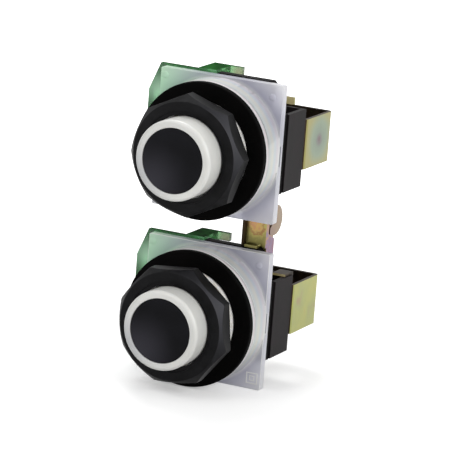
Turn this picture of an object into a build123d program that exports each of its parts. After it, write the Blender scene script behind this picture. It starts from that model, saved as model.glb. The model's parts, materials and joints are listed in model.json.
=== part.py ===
from build123d import *
from math import cos, pi, radians, tan
import os

os.makedirs("parts", exist_ok=True)

# Two panel pushbuttons, one above the other, tied by an interlock lever behind them.
# Lengths are in millimetres. X runs to the right seen from the front, the buttons face -Y, +Z is up.
# The origin is midway between the two barrel axes, in the plane where the gaskets meet the panel.
# Heights inside one operator are measured from its own axis.

# Layout and fits
unit_pitch = 57.15
button_travel = 2.75
running_gap = 0.3
slip_gap = 0.05

# Button
insert_front_y = -20.4
insert_t = 2.3
insert_edge = 0.4
head_rim_w = 2.65
head_rim_step = 0.1
head_rim_r = 1.2
head_web_t = 2.8
head_skirt_t = 2.15
head_rear_y = -6.5
stem_r = 6.0
stem_rear_y = 13.3
spigot_r = 3.5
spigot_len = 2.0
tail_r = 3.0
tail_rear_y = 29.5
tail_edge = 0.5
pin_r = 1.2
pin_y = 26.1
pin_left_x = -13.0
pin_edge = 0.25
pin_overhang = 0.8
return_spring_r = 8.1
return_spring_wire_r = 0.6
return_spring_turns = 6

# Barrel, seal and nut
barrel_r = 15.1
barrel_mouth_wall = 1.3
barrel_front_y = -10.4
barrel_mouth_depth = 7.4
barrel_bore_r = 10.0
barrel_web_y = 6.5
barrel_web_t = 3.0
barrel_flange_rim = 1.8
barrel_flange_t = 2.0
thread_pitch = 1.5
thread_depth = 0.55
thread_rear_y = 1.5
seal_t = 1.0
nut_sides = 8
nut_wall = 4.0
nut_front_y = -12.3
nut_t = 6.8
nut_face_w = 3.2
nut_cone_angle = 52.0
nut_recess_t = 0.5
nut_lip_t = 1.8
nut_rear_edge = 0.4
upper_nut_turn = 4.0
lower_nut_turn = -16.0
lower_nut_forward = 0.9

# Gasket and housing
gasket_hole_gap = 2.1
gasket_t = 2.5
gasket_edge = 0.5
rim_t = 1.9
groove_t = 1.0
groove_depth = 0.8
boss_taper = 0.3
boss_overhang = 0.7
flange_front_y = 13.0
flange_t = 3.2
flange_w = 45.0
flange_extra_h = 1.9
flange_corner = 0.6
slit_t = 1.0
slit_h = 7.0
slit_depth = 0.7
slit_rise = -0.5

# Base plate behind the flange, and its screws
base_t = 3.3
base_inset = 0.5
base_rise = 0.35
base_low_z = -13.9
base_corner = 2.0
base_step_x = 18.5
base_step_z = 13.2
base_notch_r = 4.5
base_screw_places = ((15.0, 18.4), (3.0, 20.2), (18.4, -10.0))
base_screw_r = 1.3
base_screw_head_r = 2.4
base_screw_head_t = 1.3
base_screw_bite = 2.4

# Contact cover and contact base
cover_left_x = -28.2
cover_right_x = -3.6
cover_top_z = 24.1
cover_low_z = -13.2
cover_rear_y = 29.3
cover_wall = 1.5
shoulder_x = -24.4
shoulder_z = 14.7
slope_front_y = 18.0
slope_rear_z = 17.2
rib_left_x = -10.3
rib_top_z = 24.6
rib_rear_y = 28.5
tab_right_x = 0.9
tab_t = 1.6
tab_low_z = 21.9
post_r = 2.2
contact_base_t = 8.7
contact_well_depth = 4.1
block_screw_r = 1.25
block_screw_head_r = 2.3
block_screw_head_t = 1.8
block_screw_bite = 2.6
block_screw_places = ((-19.8, 13.6), (-16.45, -11.0))

# Moving contact
slider_right_x = -6.4
slider_front_y = 24.1
slider_rear_y = 32.5
slider_half_h = 4.6
window_front_y = 28.25
window_rear_y = 31.55
bridge_x = -9.6
bridge_w = 3.0
bridge_t = 0.8
bridge_half_len = 9.0
tip_r = 1.1
tip_t = 0.3
tip_z = 7.4
bridge_spring_r = 1.1
bridge_spring_wire_r = 0.2
bridge_spring_turns = 3

# Fixed contacts and terminals
contact_clear = 0.1
strip_t = 0.8
strip_w = 2.4
outer_terminal_x = -21.5
inner_terminal_x = -11.4
pad_w = 5.0
clamp_w = 4.4
clamp_t = 0.9
terminal_screw_r = 1.4
terminal_screw_bite = 3.6
terminal_head_r = 2.3
terminal_head_t = 1.8
driver_slot_w = 0.6
driver_slot_depth = 0.7

# Interlock block and its rear bracket
block_left_x = 5.5
block_right_x = 22.5
block_top_z = 12.9
block_low_z = -13.6
block_depth = 13.7
block_left_wall = 3.7
block_right_wall = 1.7
block_rear_wall = 1.1
interlock_screw_r = 0.9
interlock_screw_head_r = 1.5
interlock_screw_head_t = 1.2
interlock_screw_sink = 0.5
interlock_screw_z = 10.7
bracket_left_overhang = 2.5
bracket_right_overhang = 0.4
bracket_depth = 21.4
bracket_low_z = -8.0
bracket_top_z = 9.2
bracket_t = 1.2
bracket_bend_r = 0.5
bracket_foot_w = 6.6
lug_w = 4.5
lug_h = 2.5
hook_inset = 0.9
hook_w = 4.8
hook_t = 0.8
hook_reach = 5.2
bracket_screw_r = 1.25
bracket_screw_head_r = 2.1
bracket_screw_head_t = 1.6
bracket_screw_z = 5.7

# Link between the two operators
link_left_x = 9.5
link_w = 8.5
link_t = 1.2
link_half_h = 23.4
link_side_depth = 6.0
link_side_top_z = -2.4
link_side_corner = 3.0
link_ear_half_h = 4.6
link_ear_depth = 10.1
link_left_rim = 1.9
link_left_rim_t = 0.9
link_right_rim = 0.9
link_rim_top_z = 14.0
link_lip_inset = 1.8
link_lip_w = 4.6
link_lip_t = 1.0
link_screw_inset_x = 2.7
link_screw_inset_z = 4.4
link_screw_r = 1.2
link_screw_head_r = 1.9
link_screw_head_t = 0.9

# Interlock lever and its pivot
rocker_t = 2.0
rocker_side_gap = 0.4
rocker_arm_w = 4.0
rocker_fork_w = 5.0
rocker_fork_root = 4.2
rocker_reach = 2.2
rocker_boss_r = 3.0
fork_gap = 0.2
lobe_r = 5.2
lobe_back = 3.2
lobe_rise = 3.0
pivot_r = 1.25
pivot_head_r = 2.0
pivot_head_t = 0.4
spacer_r = 2.4

# Derived places along the depth axis
insert_rear_y = insert_front_y + insert_t
head_front_y = insert_front_y + head_rim_step
head_web_rear_y = insert_rear_y + head_web_t
flange_rear_y = flange_front_y + flange_t
base_rear_y = flange_rear_y + base_t
contact_base_rear_y = cover_rear_y + contact_base_t
contact_well_y = cover_rear_y + contact_well_depth
block_rear_y = base_rear_y + block_depth
foot_rear_y = block_rear_y + bracket_t
bracket_rear_y = block_rear_y + bracket_depth
web_rear_y = base_rear_y + link_t
bridge_front_y = window_front_y + slip_gap
bridge_rear_y = bridge_front_y + bridge_t

# Derived radii, from the barrel outwards and inwards, and from the flange
head_bore_r = barrel_r - barrel_mouth_wall
head_r = head_bore_r - running_gap
insert_r = head_r - head_rim_w
barrel_flange_r = barrel_r + barrel_flange_rim
nut_face_r = barrel_r + nut_face_w
nut_flat_r = barrel_r + nut_wall
gasket_hole_r = barrel_r + gasket_hole_gap
boss_rear_r = flange_w / 2 + boss_overhang
boss_front_r = boss_rear_r - boss_taper
gasket_r = boss_rear_r

# Derived clearances and places across
flange_h = flange_w + flange_extra_h
base_left_x = cover_right_x + running_gap
base_right_x = flange_w / 2 - base_inset
base_top_z = flange_h / 2 + base_rise
pin_slot_half = pin_r + running_gap
pin_slot_front_y = pin_y - button_travel - pin_slot_half
pin_slot_rear_y = pin_y + button_travel + pin_slot_half
wall_screw_x = block_left_x + block_left_wall / 2
link_right_x = link_left_x + link_w
rocker_right_x = link_right_x - link_t - rocker_side_gap
rocker_left_x = rocker_right_x - rocker_t
pin_right_x = rocker_right_x + pin_overhang
link_screw_x = link_left_x + link_screw_inset_x
link_screw_z = link_half_h - link_screw_inset_z
cover_slope = (cover_top_z - slope_rear_z) / (cover_rear_y - slope_front_y)
shoulder_run = (shoulder_x - cover_left_x) / (cover_top_z - shoulder_z)


def front_plane(y, z=0.0):
    """Plane at depth y that faces the operator, with local x to the right and local y up."""
    return Plane(origin=(0, y, z), x_dir=(1, 0, 0), z_dir=(0, -1, 0))


def section_plane(z=0.0, x=0.0):
    """Upright plane along the depth axis, with local x to the rear and local y up."""
    return Plane(origin=(x, 0, z), x_dir=(0, 1, 0), z_dir=(1, 0, 0))


def unit_axis(z):
    """Axis of one operator, running to the rear."""
    return Axis((0, 0, z), (0, 1, 0))


def add_box(x_span, y_span, z_span, mode=Mode.ADD):
    """Adds or cuts a box given by its low and high side on each axis."""
    spans = (x_span, y_span, z_span)
    with Locations(tuple((low + high) / 2 for low, high in spans)):
        Box(*[high - low for low, high in spans], mode=mode)


def add_rod(radius, x, y_span, z, mode=Mode.ADD):
    """Adds or cuts a cylinder that runs along the depth axis."""
    with Locations((x, (y_span[0] + y_span[1]) / 2, z)):
        Cylinder(radius, y_span[1] - y_span[0], rotation=(90, 0, 0), mode=mode)


def add_cross_rod(radius, x_span, y, z, mode=Mode.ADD):
    """Adds or cuts a cylinder that runs across, along X."""
    with Locations(((x_span[0] + x_span[1]) / 2, y, z)):
        Cylinder(radius, x_span[1] - x_span[0], rotation=(0, 90, 0), mode=mode)


def add_screw(x, z, head_r, head_t, shank_r, seat_y, tip_y):
    """Adds a slotted cheese-head screw driven from the rear, with its head seated at seat_y."""
    head_rear_end = seat_y + head_t
    add_rod(shank_r, x, (tip_y, seat_y), z)
    add_rod(head_r, x, (seat_y, head_rear_end), z)
    slot_y = (head_rear_end - driver_slot_depth, head_rear_end)
    slot_z = (z - driver_slot_w / 2, z + driver_slot_w / 2)
    add_box((x - head_r, x + head_r), slot_y, slot_z, Mode.SUBTRACT)


def link_hole_z(z):
    """Height of the link's screw in the operator whose axis is at height z."""
    return link_screw_z if z > 0 else -link_screw_z


def strip_height(side):
    """Low and high side of the contact strips above (side 1) or below (side -1) the axis."""
    return (side * tip_z - strip_w / 2, side * tip_z + strip_w / 2)


def build_coil(radius, wire_r, turns, y_span, x, z):
    """Round-wire coil that fills a span along the depth axis."""
    rise = y_span[1] - y_span[0] - 2 * (wire_r + slip_gap)
    start = (x, y_span[0] + wire_r + slip_gap, z)
    with BuildPart() as coil:
        with BuildLine() as path:
            Helix(pitch=rise / turns, height=rise, radius=radius, center=start, direction=(0, 1, 0))
        with BuildSketch(Plane(origin=path.line @ 0, z_dir=path.line % 0)):
            Circle(wire_r)
        sweep(path=path.line, is_frenet=True)
    return coil.part


def build_button_insert(z):
    """Colour disc pressed into the button's face."""
    with BuildPart() as disc:
        with BuildSketch(front_plane(insert_front_y, z)):
            Circle(insert_r)
        extrude(amount=-insert_t)
        fillet(disc.edges().group_by(Axis.Y)[0], insert_edge)
    return disc.part


def build_button_head(z):
    """Button moulding: rounded rim, pocket for the insert and a skirt that slides in the barrel."""
    with BuildPart() as head:
        with BuildSketch(front_plane(head_front_y, z)):
            Circle(head_r)
        extrude(amount=-(head_rear_y - head_front_y))
        fillet(head.edges().group_by(Axis.Y)[0], head_rim_r)
        add_rod(insert_r + slip_gap, 0, (head_front_y, insert_rear_y), z, Mode.SUBTRACT)
        add_rod(head_r - head_skirt_t, 0, (head_web_rear_y, head_rear_y), z, Mode.SUBTRACT)
        add_rod(spigot_r + slip_gap, 0, (head_web_rear_y - spigot_len, head_web_rear_y), z, Mode.SUBTRACT)
    return head.part


def build_plunger(z):
    """Stem from the button to the rear, with a thinner tail that carries the cross pin."""
    with BuildPart() as plunger:
        add_rod(stem_r, 0, (head_web_rear_y, stem_rear_y), z)
        add_rod(spigot_r, 0, (head_web_rear_y - spigot_len, head_web_rear_y), z)
        add_rod(tail_r, 0, (stem_rear_y, tail_rear_y), z)
        chamfer(plunger.edges().group_by(Axis.Y)[-1], tail_edge)
        add_cross_rod(pin_r + slip_gap, (-tail_r, tail_r), pin_y, z, Mode.SUBTRACT)
    return plunger.part


def build_cross_pin(z):
    """Steel pin through the plunger's tail: left end to the contacts, right end to the rocker."""
    with BuildPart() as pin:
        add_cross_rod(pin_r, (pin_left_x, pin_right_x), pin_y, z)
        chamfer(pin.edges().group_by(Axis.X)[0], pin_edge)
        chamfer(pin.edges().group_by(Axis.X)[-1], pin_edge)
    return pin.part


def build_return_spring(z):
    """Spring round the stem, between the button's web and the barrel's web."""
    span = (head_web_rear_y, barrel_web_y)
    return build_coil(return_spring_r, return_spring_wire_r, return_spring_turns, span, 0, z)


def build_shaft_seal(z):
    """Wiper ring behind the barrel's web."""
    front = barrel_web_y + barrel_web_t
    with BuildPart() as seal:
        add_rod(barrel_bore_r - slip_gap, 0, (front, front + seal_t), z)
        add_rod(stem_r + running_gap, 0, (front, front + seal_t), z, Mode.SUBTRACT)
    return seal.part


def build_barrel(z):
    """Threaded barrel: mouth for the button, web that guides the stem, rear flange."""
    mouth_y = barrel_front_y + barrel_mouth_depth
    web_end = barrel_web_y + barrel_web_t
    guide_r = stem_r + 2 * slip_gap
    with BuildPart() as barrel:
        with BuildSketch(section_plane(z)):
            with BuildLine():
                Polyline(
                    (barrel_front_y, head_bore_r),
                    (barrel_front_y, barrel_r - thread_depth),
                    (barrel_front_y + thread_depth, barrel_r),
                    (flange_rear_y - barrel_flange_t, barrel_r),
                    (flange_rear_y - barrel_flange_t, barrel_flange_r),
                    (flange_rear_y, barrel_flange_r),
                    (flange_rear_y, barrel_bore_r),
                    (web_end, barrel_bore_r),
                    (web_end, guide_r),
                    (barrel_web_y, guide_r),
                    (barrel_web_y, barrel_bore_r),
                    (mouth_y, barrel_bore_r),
                    (mouth_y, head_bore_r),
                    close=True,
                )
            make_face()
            groove_y = barrel_front_y + thread_pitch
            while groove_y < thread_rear_y:
                with BuildLine():
                    Polyline(
                        (groove_y, barrel_r - thread_depth),
                        (groove_y - thread_depth, barrel_r + slip_gap),
                        (groove_y + thread_depth, barrel_r + slip_gap),
                        close=True,
                    )
                make_face(mode=Mode.SUBTRACT)
                groove_y += thread_pitch
        revolve(axis=unit_axis(z))
    return barrel.part


def build_ring_nut(z, turn, front_y):
    """Octagonal ring nut with a coned face, an inner lip over the barrel's end and a round bore."""
    rear_y = front_y + nut_t
    cone_end_r = nut_flat_r / cos(pi / nut_sides)
    cone_t = (cone_end_r - nut_face_r) * tan(radians(nut_cone_angle))
    with BuildPart() as nut:
        with BuildSketch(front_plane(front_y, z)):
            RegularPolygon(nut_flat_r, nut_sides, major_radius=False, rotation=turn)
        extrude(amount=-nut_t)
        with BuildSketch(section_plane(z)):
            with BuildLine():
                Polyline(
                    (front_y, 0),
                    (front_y, nut_face_r),
                    (front_y + cone_t, cone_end_r),
                    (rear_y, cone_end_r),
                    (rear_y, 0),
                    close=True,
                )
            make_face()
        revolve(axis=unit_axis(z), mode=Mode.INTERSECT)
        chamfer(nut.faces().sort_by(Axis.Y)[-1].outer_wire().edges(), nut_rear_edge)
        add_rod(barrel_r + running_gap, 0, (front_y, front_y + nut_recess_t), z, Mode.SUBTRACT)
        add_rod(head_bore_r + 2 * slip_gap, 0, (front_y, rear_y), z, Mode.SUBTRACT)
        add_rod(barrel_r + slip_gap, 0, (front_y + nut_lip_t, rear_y), z, Mode.SUBTRACT)
    return nut.part


def build_gasket(z):
    """Rubber disc between the panel and the housing."""
    with BuildPart() as gasket:
        add_rod(gasket_r, 0, (0, gasket_t), z)
        fillet(gasket.edges().group_by(Axis.Y)[0], gasket_edge)
        add_rod(gasket_hole_r, 0, (0, gasket_t), z, Mode.SUBTRACT)
    return gasket.part


def build_housing(z):
    """Milky housing: stepped round boss on a square flange, bored for the barrel."""
    rim_end = gasket_t + rim_t
    groove_end = rim_end + groove_t
    side = flange_w / 2
    with BuildPart() as housing:
        with BuildSketch(section_plane(z)):
            with BuildLine():
                Polyline(
                    (rim_end, 0),
                    (rim_end, gasket_r - groove_depth),
                    (groove_end, gasket_r - groove_depth),
                    (groove_end, boss_front_r),
                    (flange_front_y, boss_rear_r),
                    (flange_front_y, 0),
                    close=True,
                )
            make_face()
        revolve(axis=unit_axis(z))
        for low, high in ((-boss_rear_r, -side), (side, boss_rear_r)):
            add_box((low, high), (rim_end, flange_front_y), (z - gasket_r, z + gasket_r), Mode.SUBTRACT)
        add_rod(gasket_r, 0, (gasket_t, rim_end), z)
        with BuildSketch(front_plane(flange_front_y, z)):
            RectangleRounded(flange_w, flange_h, flange_corner)
        extrude(amount=-flange_t)
        add_rod(barrel_r + slip_gap, 0, (gasket_t, flange_rear_y), z, Mode.SUBTRACT)
        seat_y = flange_rear_y - barrel_flange_t
        add_rod(barrel_flange_r + slip_gap, 0, (seat_y, flange_rear_y), z, Mode.SUBTRACT)
        slit_y = flange_front_y + (flange_t - slit_t) / 2
        slit_z = (z + slit_rise - slit_h / 2, z + slit_rise + slit_h / 2)
        add_box((side - slit_depth, side), (slit_y, slit_y + slit_t), slit_z, Mode.SUBTRACT)
        for x, place_z in block_screw_places:
            hole = (flange_rear_y - block_screw_bite, flange_rear_y)
            add_rod(block_screw_r + slip_gap, x, hole, z + place_z, Mode.SUBTRACT)
        for x, place_z in base_screw_places:
            hole = (flange_rear_y - base_screw_bite, flange_rear_y)
            add_rod(base_screw_r + slip_gap, x, hole, z + place_z, Mode.SUBTRACT)
    return housing.part


def build_base_plate(z):
    """Black plate behind the right part of the flange, with a notch for the plunger's tail."""
    through = (flange_rear_y, base_rear_y)
    head_seat = (base_rear_y - base_screw_head_t, base_rear_y)
    with BuildPart() as plate:
        with BuildSketch(front_plane(flange_rear_y, z)):
            with BuildLine():
                Polyline(
                    (base_left_x, base_top_z),
                    (base_step_x - base_corner, base_top_z),
                    (base_step_x, base_top_z - base_corner),
                    (base_step_x, base_step_z),
                    (base_right_x, base_step_z),
                    (base_right_x, base_low_z),
                    (base_left_x, base_low_z),
                    close=True,
                )
            make_face()
        extrude(amount=-base_t)
        add_rod(base_notch_r, 0, through, z, Mode.SUBTRACT)
        for x, place_z in base_screw_places:
            add_rod(base_screw_r + slip_gap, x, through, z + place_z, Mode.SUBTRACT)
            add_rod(base_screw_head_r + slip_gap, x, head_seat, z + place_z, Mode.SUBTRACT)
        for side in (-1, 1):
            bracket_z = z + side * bracket_screw_z
            screw_z = z + side * interlock_screw_z
            add_rod(bracket_screw_r + slip_gap, wall_screw_x, through, bracket_z, Mode.SUBTRACT)
            add_rod(interlock_screw_r + slip_gap, wall_screw_x, through, screw_z, Mode.SUBTRACT)
        add_rod(link_screw_r + slip_gap, link_screw_x, through, link_hole_z(z), Mode.SUBTRACT)
    return plate.part


def build_base_screws(z):
    """Screws that hold the base plate on the housing, with their heads sunk flush."""
    seat_y = base_rear_y - base_screw_head_t
    tip_y = flange_rear_y - base_screw_bite
    with BuildPart() as screws:
        for x, place_z in base_screw_places:
            add_screw(x, z + place_z, base_screw_head_r, base_screw_head_t, base_screw_r, seat_y, tip_y)
    return screws.part


def block_outline(top_z):
    """Front outline of the contact block up to a height, with a slanted shoulder at its upper left."""
    shoulder_end_x = cover_left_x + shoulder_run * (top_z - shoulder_z)
    return (
        (cover_left_x, cover_low_z),
        (cover_right_x, cover_low_z),
        (cover_right_x, top_z),
        (shoulder_end_x, top_z),
        (cover_left_x, shoulder_z),
    )


def build_contact_cover(z):
    """Thin clear cover of the contact block, between the flange and the block's moulded rear half."""
    inner_left = cover_left_x + cover_wall
    inner_right = cover_right_x - cover_wall
    inner_low = z + cover_low_z + cover_wall
    inner_shoulder = z + shoulder_z
    front_y = flange_rear_y + cover_wall
    roof_left = shoulder_x + cover_wall
    roof_rear_z = slope_rear_z - cover_wall
    roof_front_z = roof_rear_z + cover_slope * (cover_rear_y - front_y)
    with BuildPart() as cover:
        with BuildSketch(front_plane(flange_rear_y, z)):
            with BuildLine():
                Polyline(*block_outline(cover_top_z), close=True)
            make_face()
        extrude(amount=-(cover_rear_y - flange_rear_y))
        with BuildSketch(section_plane(z, cover_left_x)):
            with BuildLine():
                Polyline(
                    (slope_front_y, cover_top_z),
                    (cover_rear_y, slope_rear_z),
                    (cover_rear_y, cover_top_z),
                    close=True,
                )
            make_face()
        extrude(amount=rib_left_x - cover_left_x, mode=Mode.SUBTRACT)
        rib_x = (rib_left_x, cover_right_x)
        add_box(rib_x, (rib_rear_y, cover_rear_y), (z + slope_rear_z, z + cover_top_z), Mode.SUBTRACT)
        add_box(rib_x, (flange_rear_y, rib_rear_y), (z + cover_top_z, z + rib_top_z))
        tab_y = (rib_rear_y - tab_t, rib_rear_y)
        add_box((cover_right_x, tab_right_x), tab_y, (z + tab_low_z, z + rib_top_z))
        inner_x = (inner_left, inner_right)
        add_box(inner_x, (front_y, cover_rear_y), (inner_low, inner_shoulder), Mode.SUBTRACT)
        with BuildSketch(section_plane(z, roof_left)):
            with BuildLine():
                Polyline(
                    (front_y, shoulder_z),
                    (cover_rear_y, shoulder_z),
                    (cover_rear_y, roof_rear_z),
                    (front_y, roof_front_z),
                    close=True,
                )
            make_face()
        extrude(amount=rib_left_x - roof_left, mode=Mode.SUBTRACT)
        rib_hollow_y = (front_y, rib_rear_y - cover_wall)
        rib_hollow_x = (rib_left_x + cover_wall, inner_right)
        rib_hollow_z = (inner_shoulder, z + rib_top_z - cover_wall)
        add_box(rib_hollow_x, rib_hollow_y, rib_hollow_z, Mode.SUBTRACT)
        for x, place_z in block_screw_places:
            add_rod(post_r, x, (flange_rear_y, cover_rear_y), z + place_z)
        for x, place_z in block_screw_places:
            add_rod(block_screw_r + slip_gap, x, (flange_rear_y, cover_rear_y), z + place_z, Mode.SUBTRACT)
        slot_z = (z - pin_slot_half, z + pin_slot_half)
        add_box((inner_right, cover_right_x), (pin_slot_front_y, cover_rear_y), slot_z, Mode.SUBTRACT)
    return cover.part


def outer_leg_x():
    """Left and right side of the leg that carries the outer terminals."""
    right = outer_terminal_x + pad_w / 2
    return (right - strip_t, right)


def inner_leg_x():
    """Left and right side of the leg that carries the inner terminals."""
    left = inner_terminal_x - pad_w / 2
    return (left, left + strip_t)


def build_contact_base(z):
    """Moulded rear half of the contact block, with wells, leg slots and terminal holes."""
    well_left = outer_leg_x()[0] - running_gap
    inner_right = cover_right_x - cover_wall
    well_half_h = bridge_half_len + running_gap
    pocket_rear_y = slider_rear_y + button_travel + running_gap
    with BuildPart() as base:
        with BuildSketch(front_plane(cover_rear_y, z)):
            with BuildLine():
                Polyline(*block_outline(slope_rear_z), close=True)
            make_face()
        extrude(amount=-contact_base_t)
        well_z = (z - well_half_h, z + well_half_h)
        add_box((well_left, inner_right), (cover_rear_y, contact_well_y), well_z, Mode.SUBTRACT)
        pocket_x = (pin_left_x - running_gap, slider_right_x + running_gap)
        pocket_z = (z - slider_half_h - running_gap, z + slider_half_h + running_gap)
        add_box(pocket_x, (contact_well_y, pocket_rear_y), pocket_z, Mode.SUBTRACT)
        for side in (-1, 1):
            low, high = strip_height(side)
            for leg in (outer_leg_x(), inner_leg_x()):
                slot_x = (leg[0] - slip_gap, leg[1] + slip_gap)
                slot_z = (z + low - slip_gap, z + high + slip_gap)
                add_box(slot_x, (contact_well_y, contact_base_rear_y), slot_z, Mode.SUBTRACT)
            for x in (outer_terminal_x, inner_terminal_x):
                hole = (contact_base_rear_y - terminal_screw_bite, contact_base_rear_y)
                add_rod(terminal_screw_r + slip_gap, x, hole, z + side * tip_z, Mode.SUBTRACT)
        for x, place_z in block_screw_places:
            hole = (cover_rear_y, contact_base_rear_y)
            add_rod(block_screw_r + slip_gap, x, hole, z + place_z, Mode.SUBTRACT)
        slot_z = (z - pin_slot_half, z + pin_slot_half)
        add_box((inner_right, cover_right_x), (cover_rear_y, pin_slot_rear_y), slot_z, Mode.SUBTRACT)
    return base.part


def build_contact_slider(z):
    """Insulating carrier that the cross pin pushes, with a window for the bridge and its spring."""
    window_half = bridge_w / 2 + 2 * slip_gap
    slider_z = (z - slider_half_h, z + slider_half_h)
    with BuildPart() as slider:
        add_box((pin_left_x, slider_right_x), (slider_front_y, slider_rear_y), slider_z)
        add_box(
            (bridge_x - window_half, bridge_x + window_half),
            (window_front_y, window_rear_y),
            slider_z,
            Mode.SUBTRACT,
        )
        add_cross_rod(pin_r + slip_gap, (pin_left_x, slider_right_x), pin_y, z, Mode.SUBTRACT)
    return slider.part


def build_contact_bridge(z):
    """Moving contact bar with a tip on both faces at each end."""
    bar_x = (bridge_x - bridge_w / 2, bridge_x + bridge_w / 2)
    with BuildPart() as bridge:
        add_box(bar_x, (bridge_front_y, bridge_rear_y), (z - bridge_half_len, z + bridge_half_len))
        for side in (-1, 1):
            add_rod(tip_r, bridge_x, (bridge_front_y - tip_t, bridge_rear_y + tip_t), z + side * tip_z)
    return bridge.part


def build_bridge_spring(z):
    """Small coil that presses the bridge forward in the slider's window."""
    span = (bridge_rear_y, window_rear_y)
    return build_coil(bridge_spring_r, bridge_spring_wire_r, bridge_spring_turns, span, bridge_x, z)


def build_fixed_contacts(z):
    """Four bent contact strips: two in front of the bridge, two behind it, each with its terminal pad."""
    front_face = bridge_front_y - tip_t - button_travel - contact_clear
    rear_face = bridge_rear_y + tip_t + button_travel + contact_clear
    front_tip = (front_face - tip_t, front_face)
    front_strip = (front_tip[0] - strip_t, front_tip[0])
    rear_tip = (rear_face, rear_face + tip_t)
    rear_strip = (rear_tip[1], rear_tip[1] + strip_t)
    strip_right = bridge_x + bridge_w / 2
    pad_y = (contact_base_rear_y, contact_base_rear_y + strip_t)
    layouts = (
        (outer_terminal_x, outer_leg_x(), front_strip, front_tip),
        (inner_terminal_x, inner_leg_x(), rear_strip, rear_tip),
    )
    with BuildPart() as contacts:
        for side in (-1, 1):
            low, high = strip_height(side)
            strip_z = (z + low, z + high)
            pad_z = (z + side * tip_z - pad_w / 2, z + side * tip_z + pad_w / 2)
            for terminal_x, leg_x, strip_y, tip_y in layouts:
                add_box((leg_x[0], strip_right), strip_y, strip_z)
                add_rod(tip_r, bridge_x, tip_y, z + side * tip_z)
                add_box(leg_x, (strip_y[0], pad_y[1]), strip_z)
                add_box((terminal_x - pad_w / 2, terminal_x + pad_w / 2), pad_y, pad_z)
                add_rod(terminal_screw_r + slip_gap, terminal_x, pad_y, z + side * tip_z, Mode.SUBTRACT)
    return contacts.part


def build_terminal_clamps(z):
    """Square clamp plates under the terminal screws."""
    clamp_y = (contact_base_rear_y + strip_t, contact_base_rear_y + strip_t + clamp_t)
    with BuildPart() as clamps:
        for x in (outer_terminal_x, inner_terminal_x):
            for side in (-1, 1):
                middle_z = z + side * tip_z
                clamp_z = (middle_z - clamp_w / 2, middle_z + clamp_w / 2)
                add_box((x - clamp_w / 2, x + clamp_w / 2), clamp_y, clamp_z)
                add_rod(terminal_screw_r + slip_gap, x, clamp_y, middle_z, Mode.SUBTRACT)
    return clamps.part


def build_terminal_screws(z):
    """Four terminal screws, driven from the rear through clamp and pad."""
    seat_y = contact_base_rear_y + strip_t + clamp_t
    tip_y = contact_base_rear_y - terminal_screw_bite
    with BuildPart() as screws:
        for x in (outer_terminal_x, inner_terminal_x):
            for side in (-1, 1):
                add_screw(
                    x,
                    z + side * tip_z,
                    terminal_head_r,
                    terminal_head_t,
                    terminal_screw_r,
                    seat_y,
                    tip_y,
                )
    return screws.part


def build_block_screws(z):
    """Two long screws that hold the contact block on the housing."""
    tip_y = flange_rear_y - block_screw_bite
    with BuildPart() as screws:
        for x, place_z in block_screw_places:
            add_screw(
                x,
                z + place_z,
                block_screw_head_r,
                block_screw_head_t,
                block_screw_r,
                contact_base_rear_y,
                tip_y,
            )
    return screws.part


def build_interlock_block(z):
    """Black block on the base plate, hollow from top to bottom for the rocker."""
    left_inner = block_left_x + block_left_wall
    block_y = (base_rear_y, block_rear_y)
    block_z = (z + block_low_z, z + block_top_z)
    sink_y = block_rear_y - interlock_screw_sink - interlock_screw_head_t
    with BuildPart() as block:
        add_box((block_left_x, block_right_x), block_y, block_z)
        cavity_x = (left_inner, block_right_x - block_right_wall)
        add_box(cavity_x, (base_rear_y, block_rear_y - block_rear_wall), block_z, Mode.SUBTRACT)
        slot_z = (z - pin_slot_half, z + pin_slot_half)
        add_box((block_left_x, left_inner), (pin_slot_front_y, pin_slot_rear_y), slot_z, Mode.SUBTRACT)
        for side in (-1, 1):
            bracket_z = z + side * bracket_screw_z
            screw_z = z + side * interlock_screw_z
            head_y = (sink_y, block_rear_y)
            add_rod(bracket_screw_r + slip_gap, wall_screw_x, block_y, bracket_z, Mode.SUBTRACT)
            add_rod(interlock_screw_r + slip_gap, wall_screw_x, block_y, screw_z, Mode.SUBTRACT)
            add_rod(interlock_screw_head_r + slip_gap, wall_screw_x, head_y, screw_z, Mode.SUBTRACT)
    return block.part


def build_interlock_screws(z):
    """Two screws sunk in the interlock block's left wall."""
    seat_y = block_rear_y - interlock_screw_sink - interlock_screw_head_t
    with BuildPart() as screws:
        for side in (-1, 1):
            add_screw(
                wall_screw_x,
                z + side * interlock_screw_z,
                interlock_screw_head_r,
                interlock_screw_head_t,
                interlock_screw_r,
                seat_y,
                flange_rear_y,
            )
    return screws.part


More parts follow.
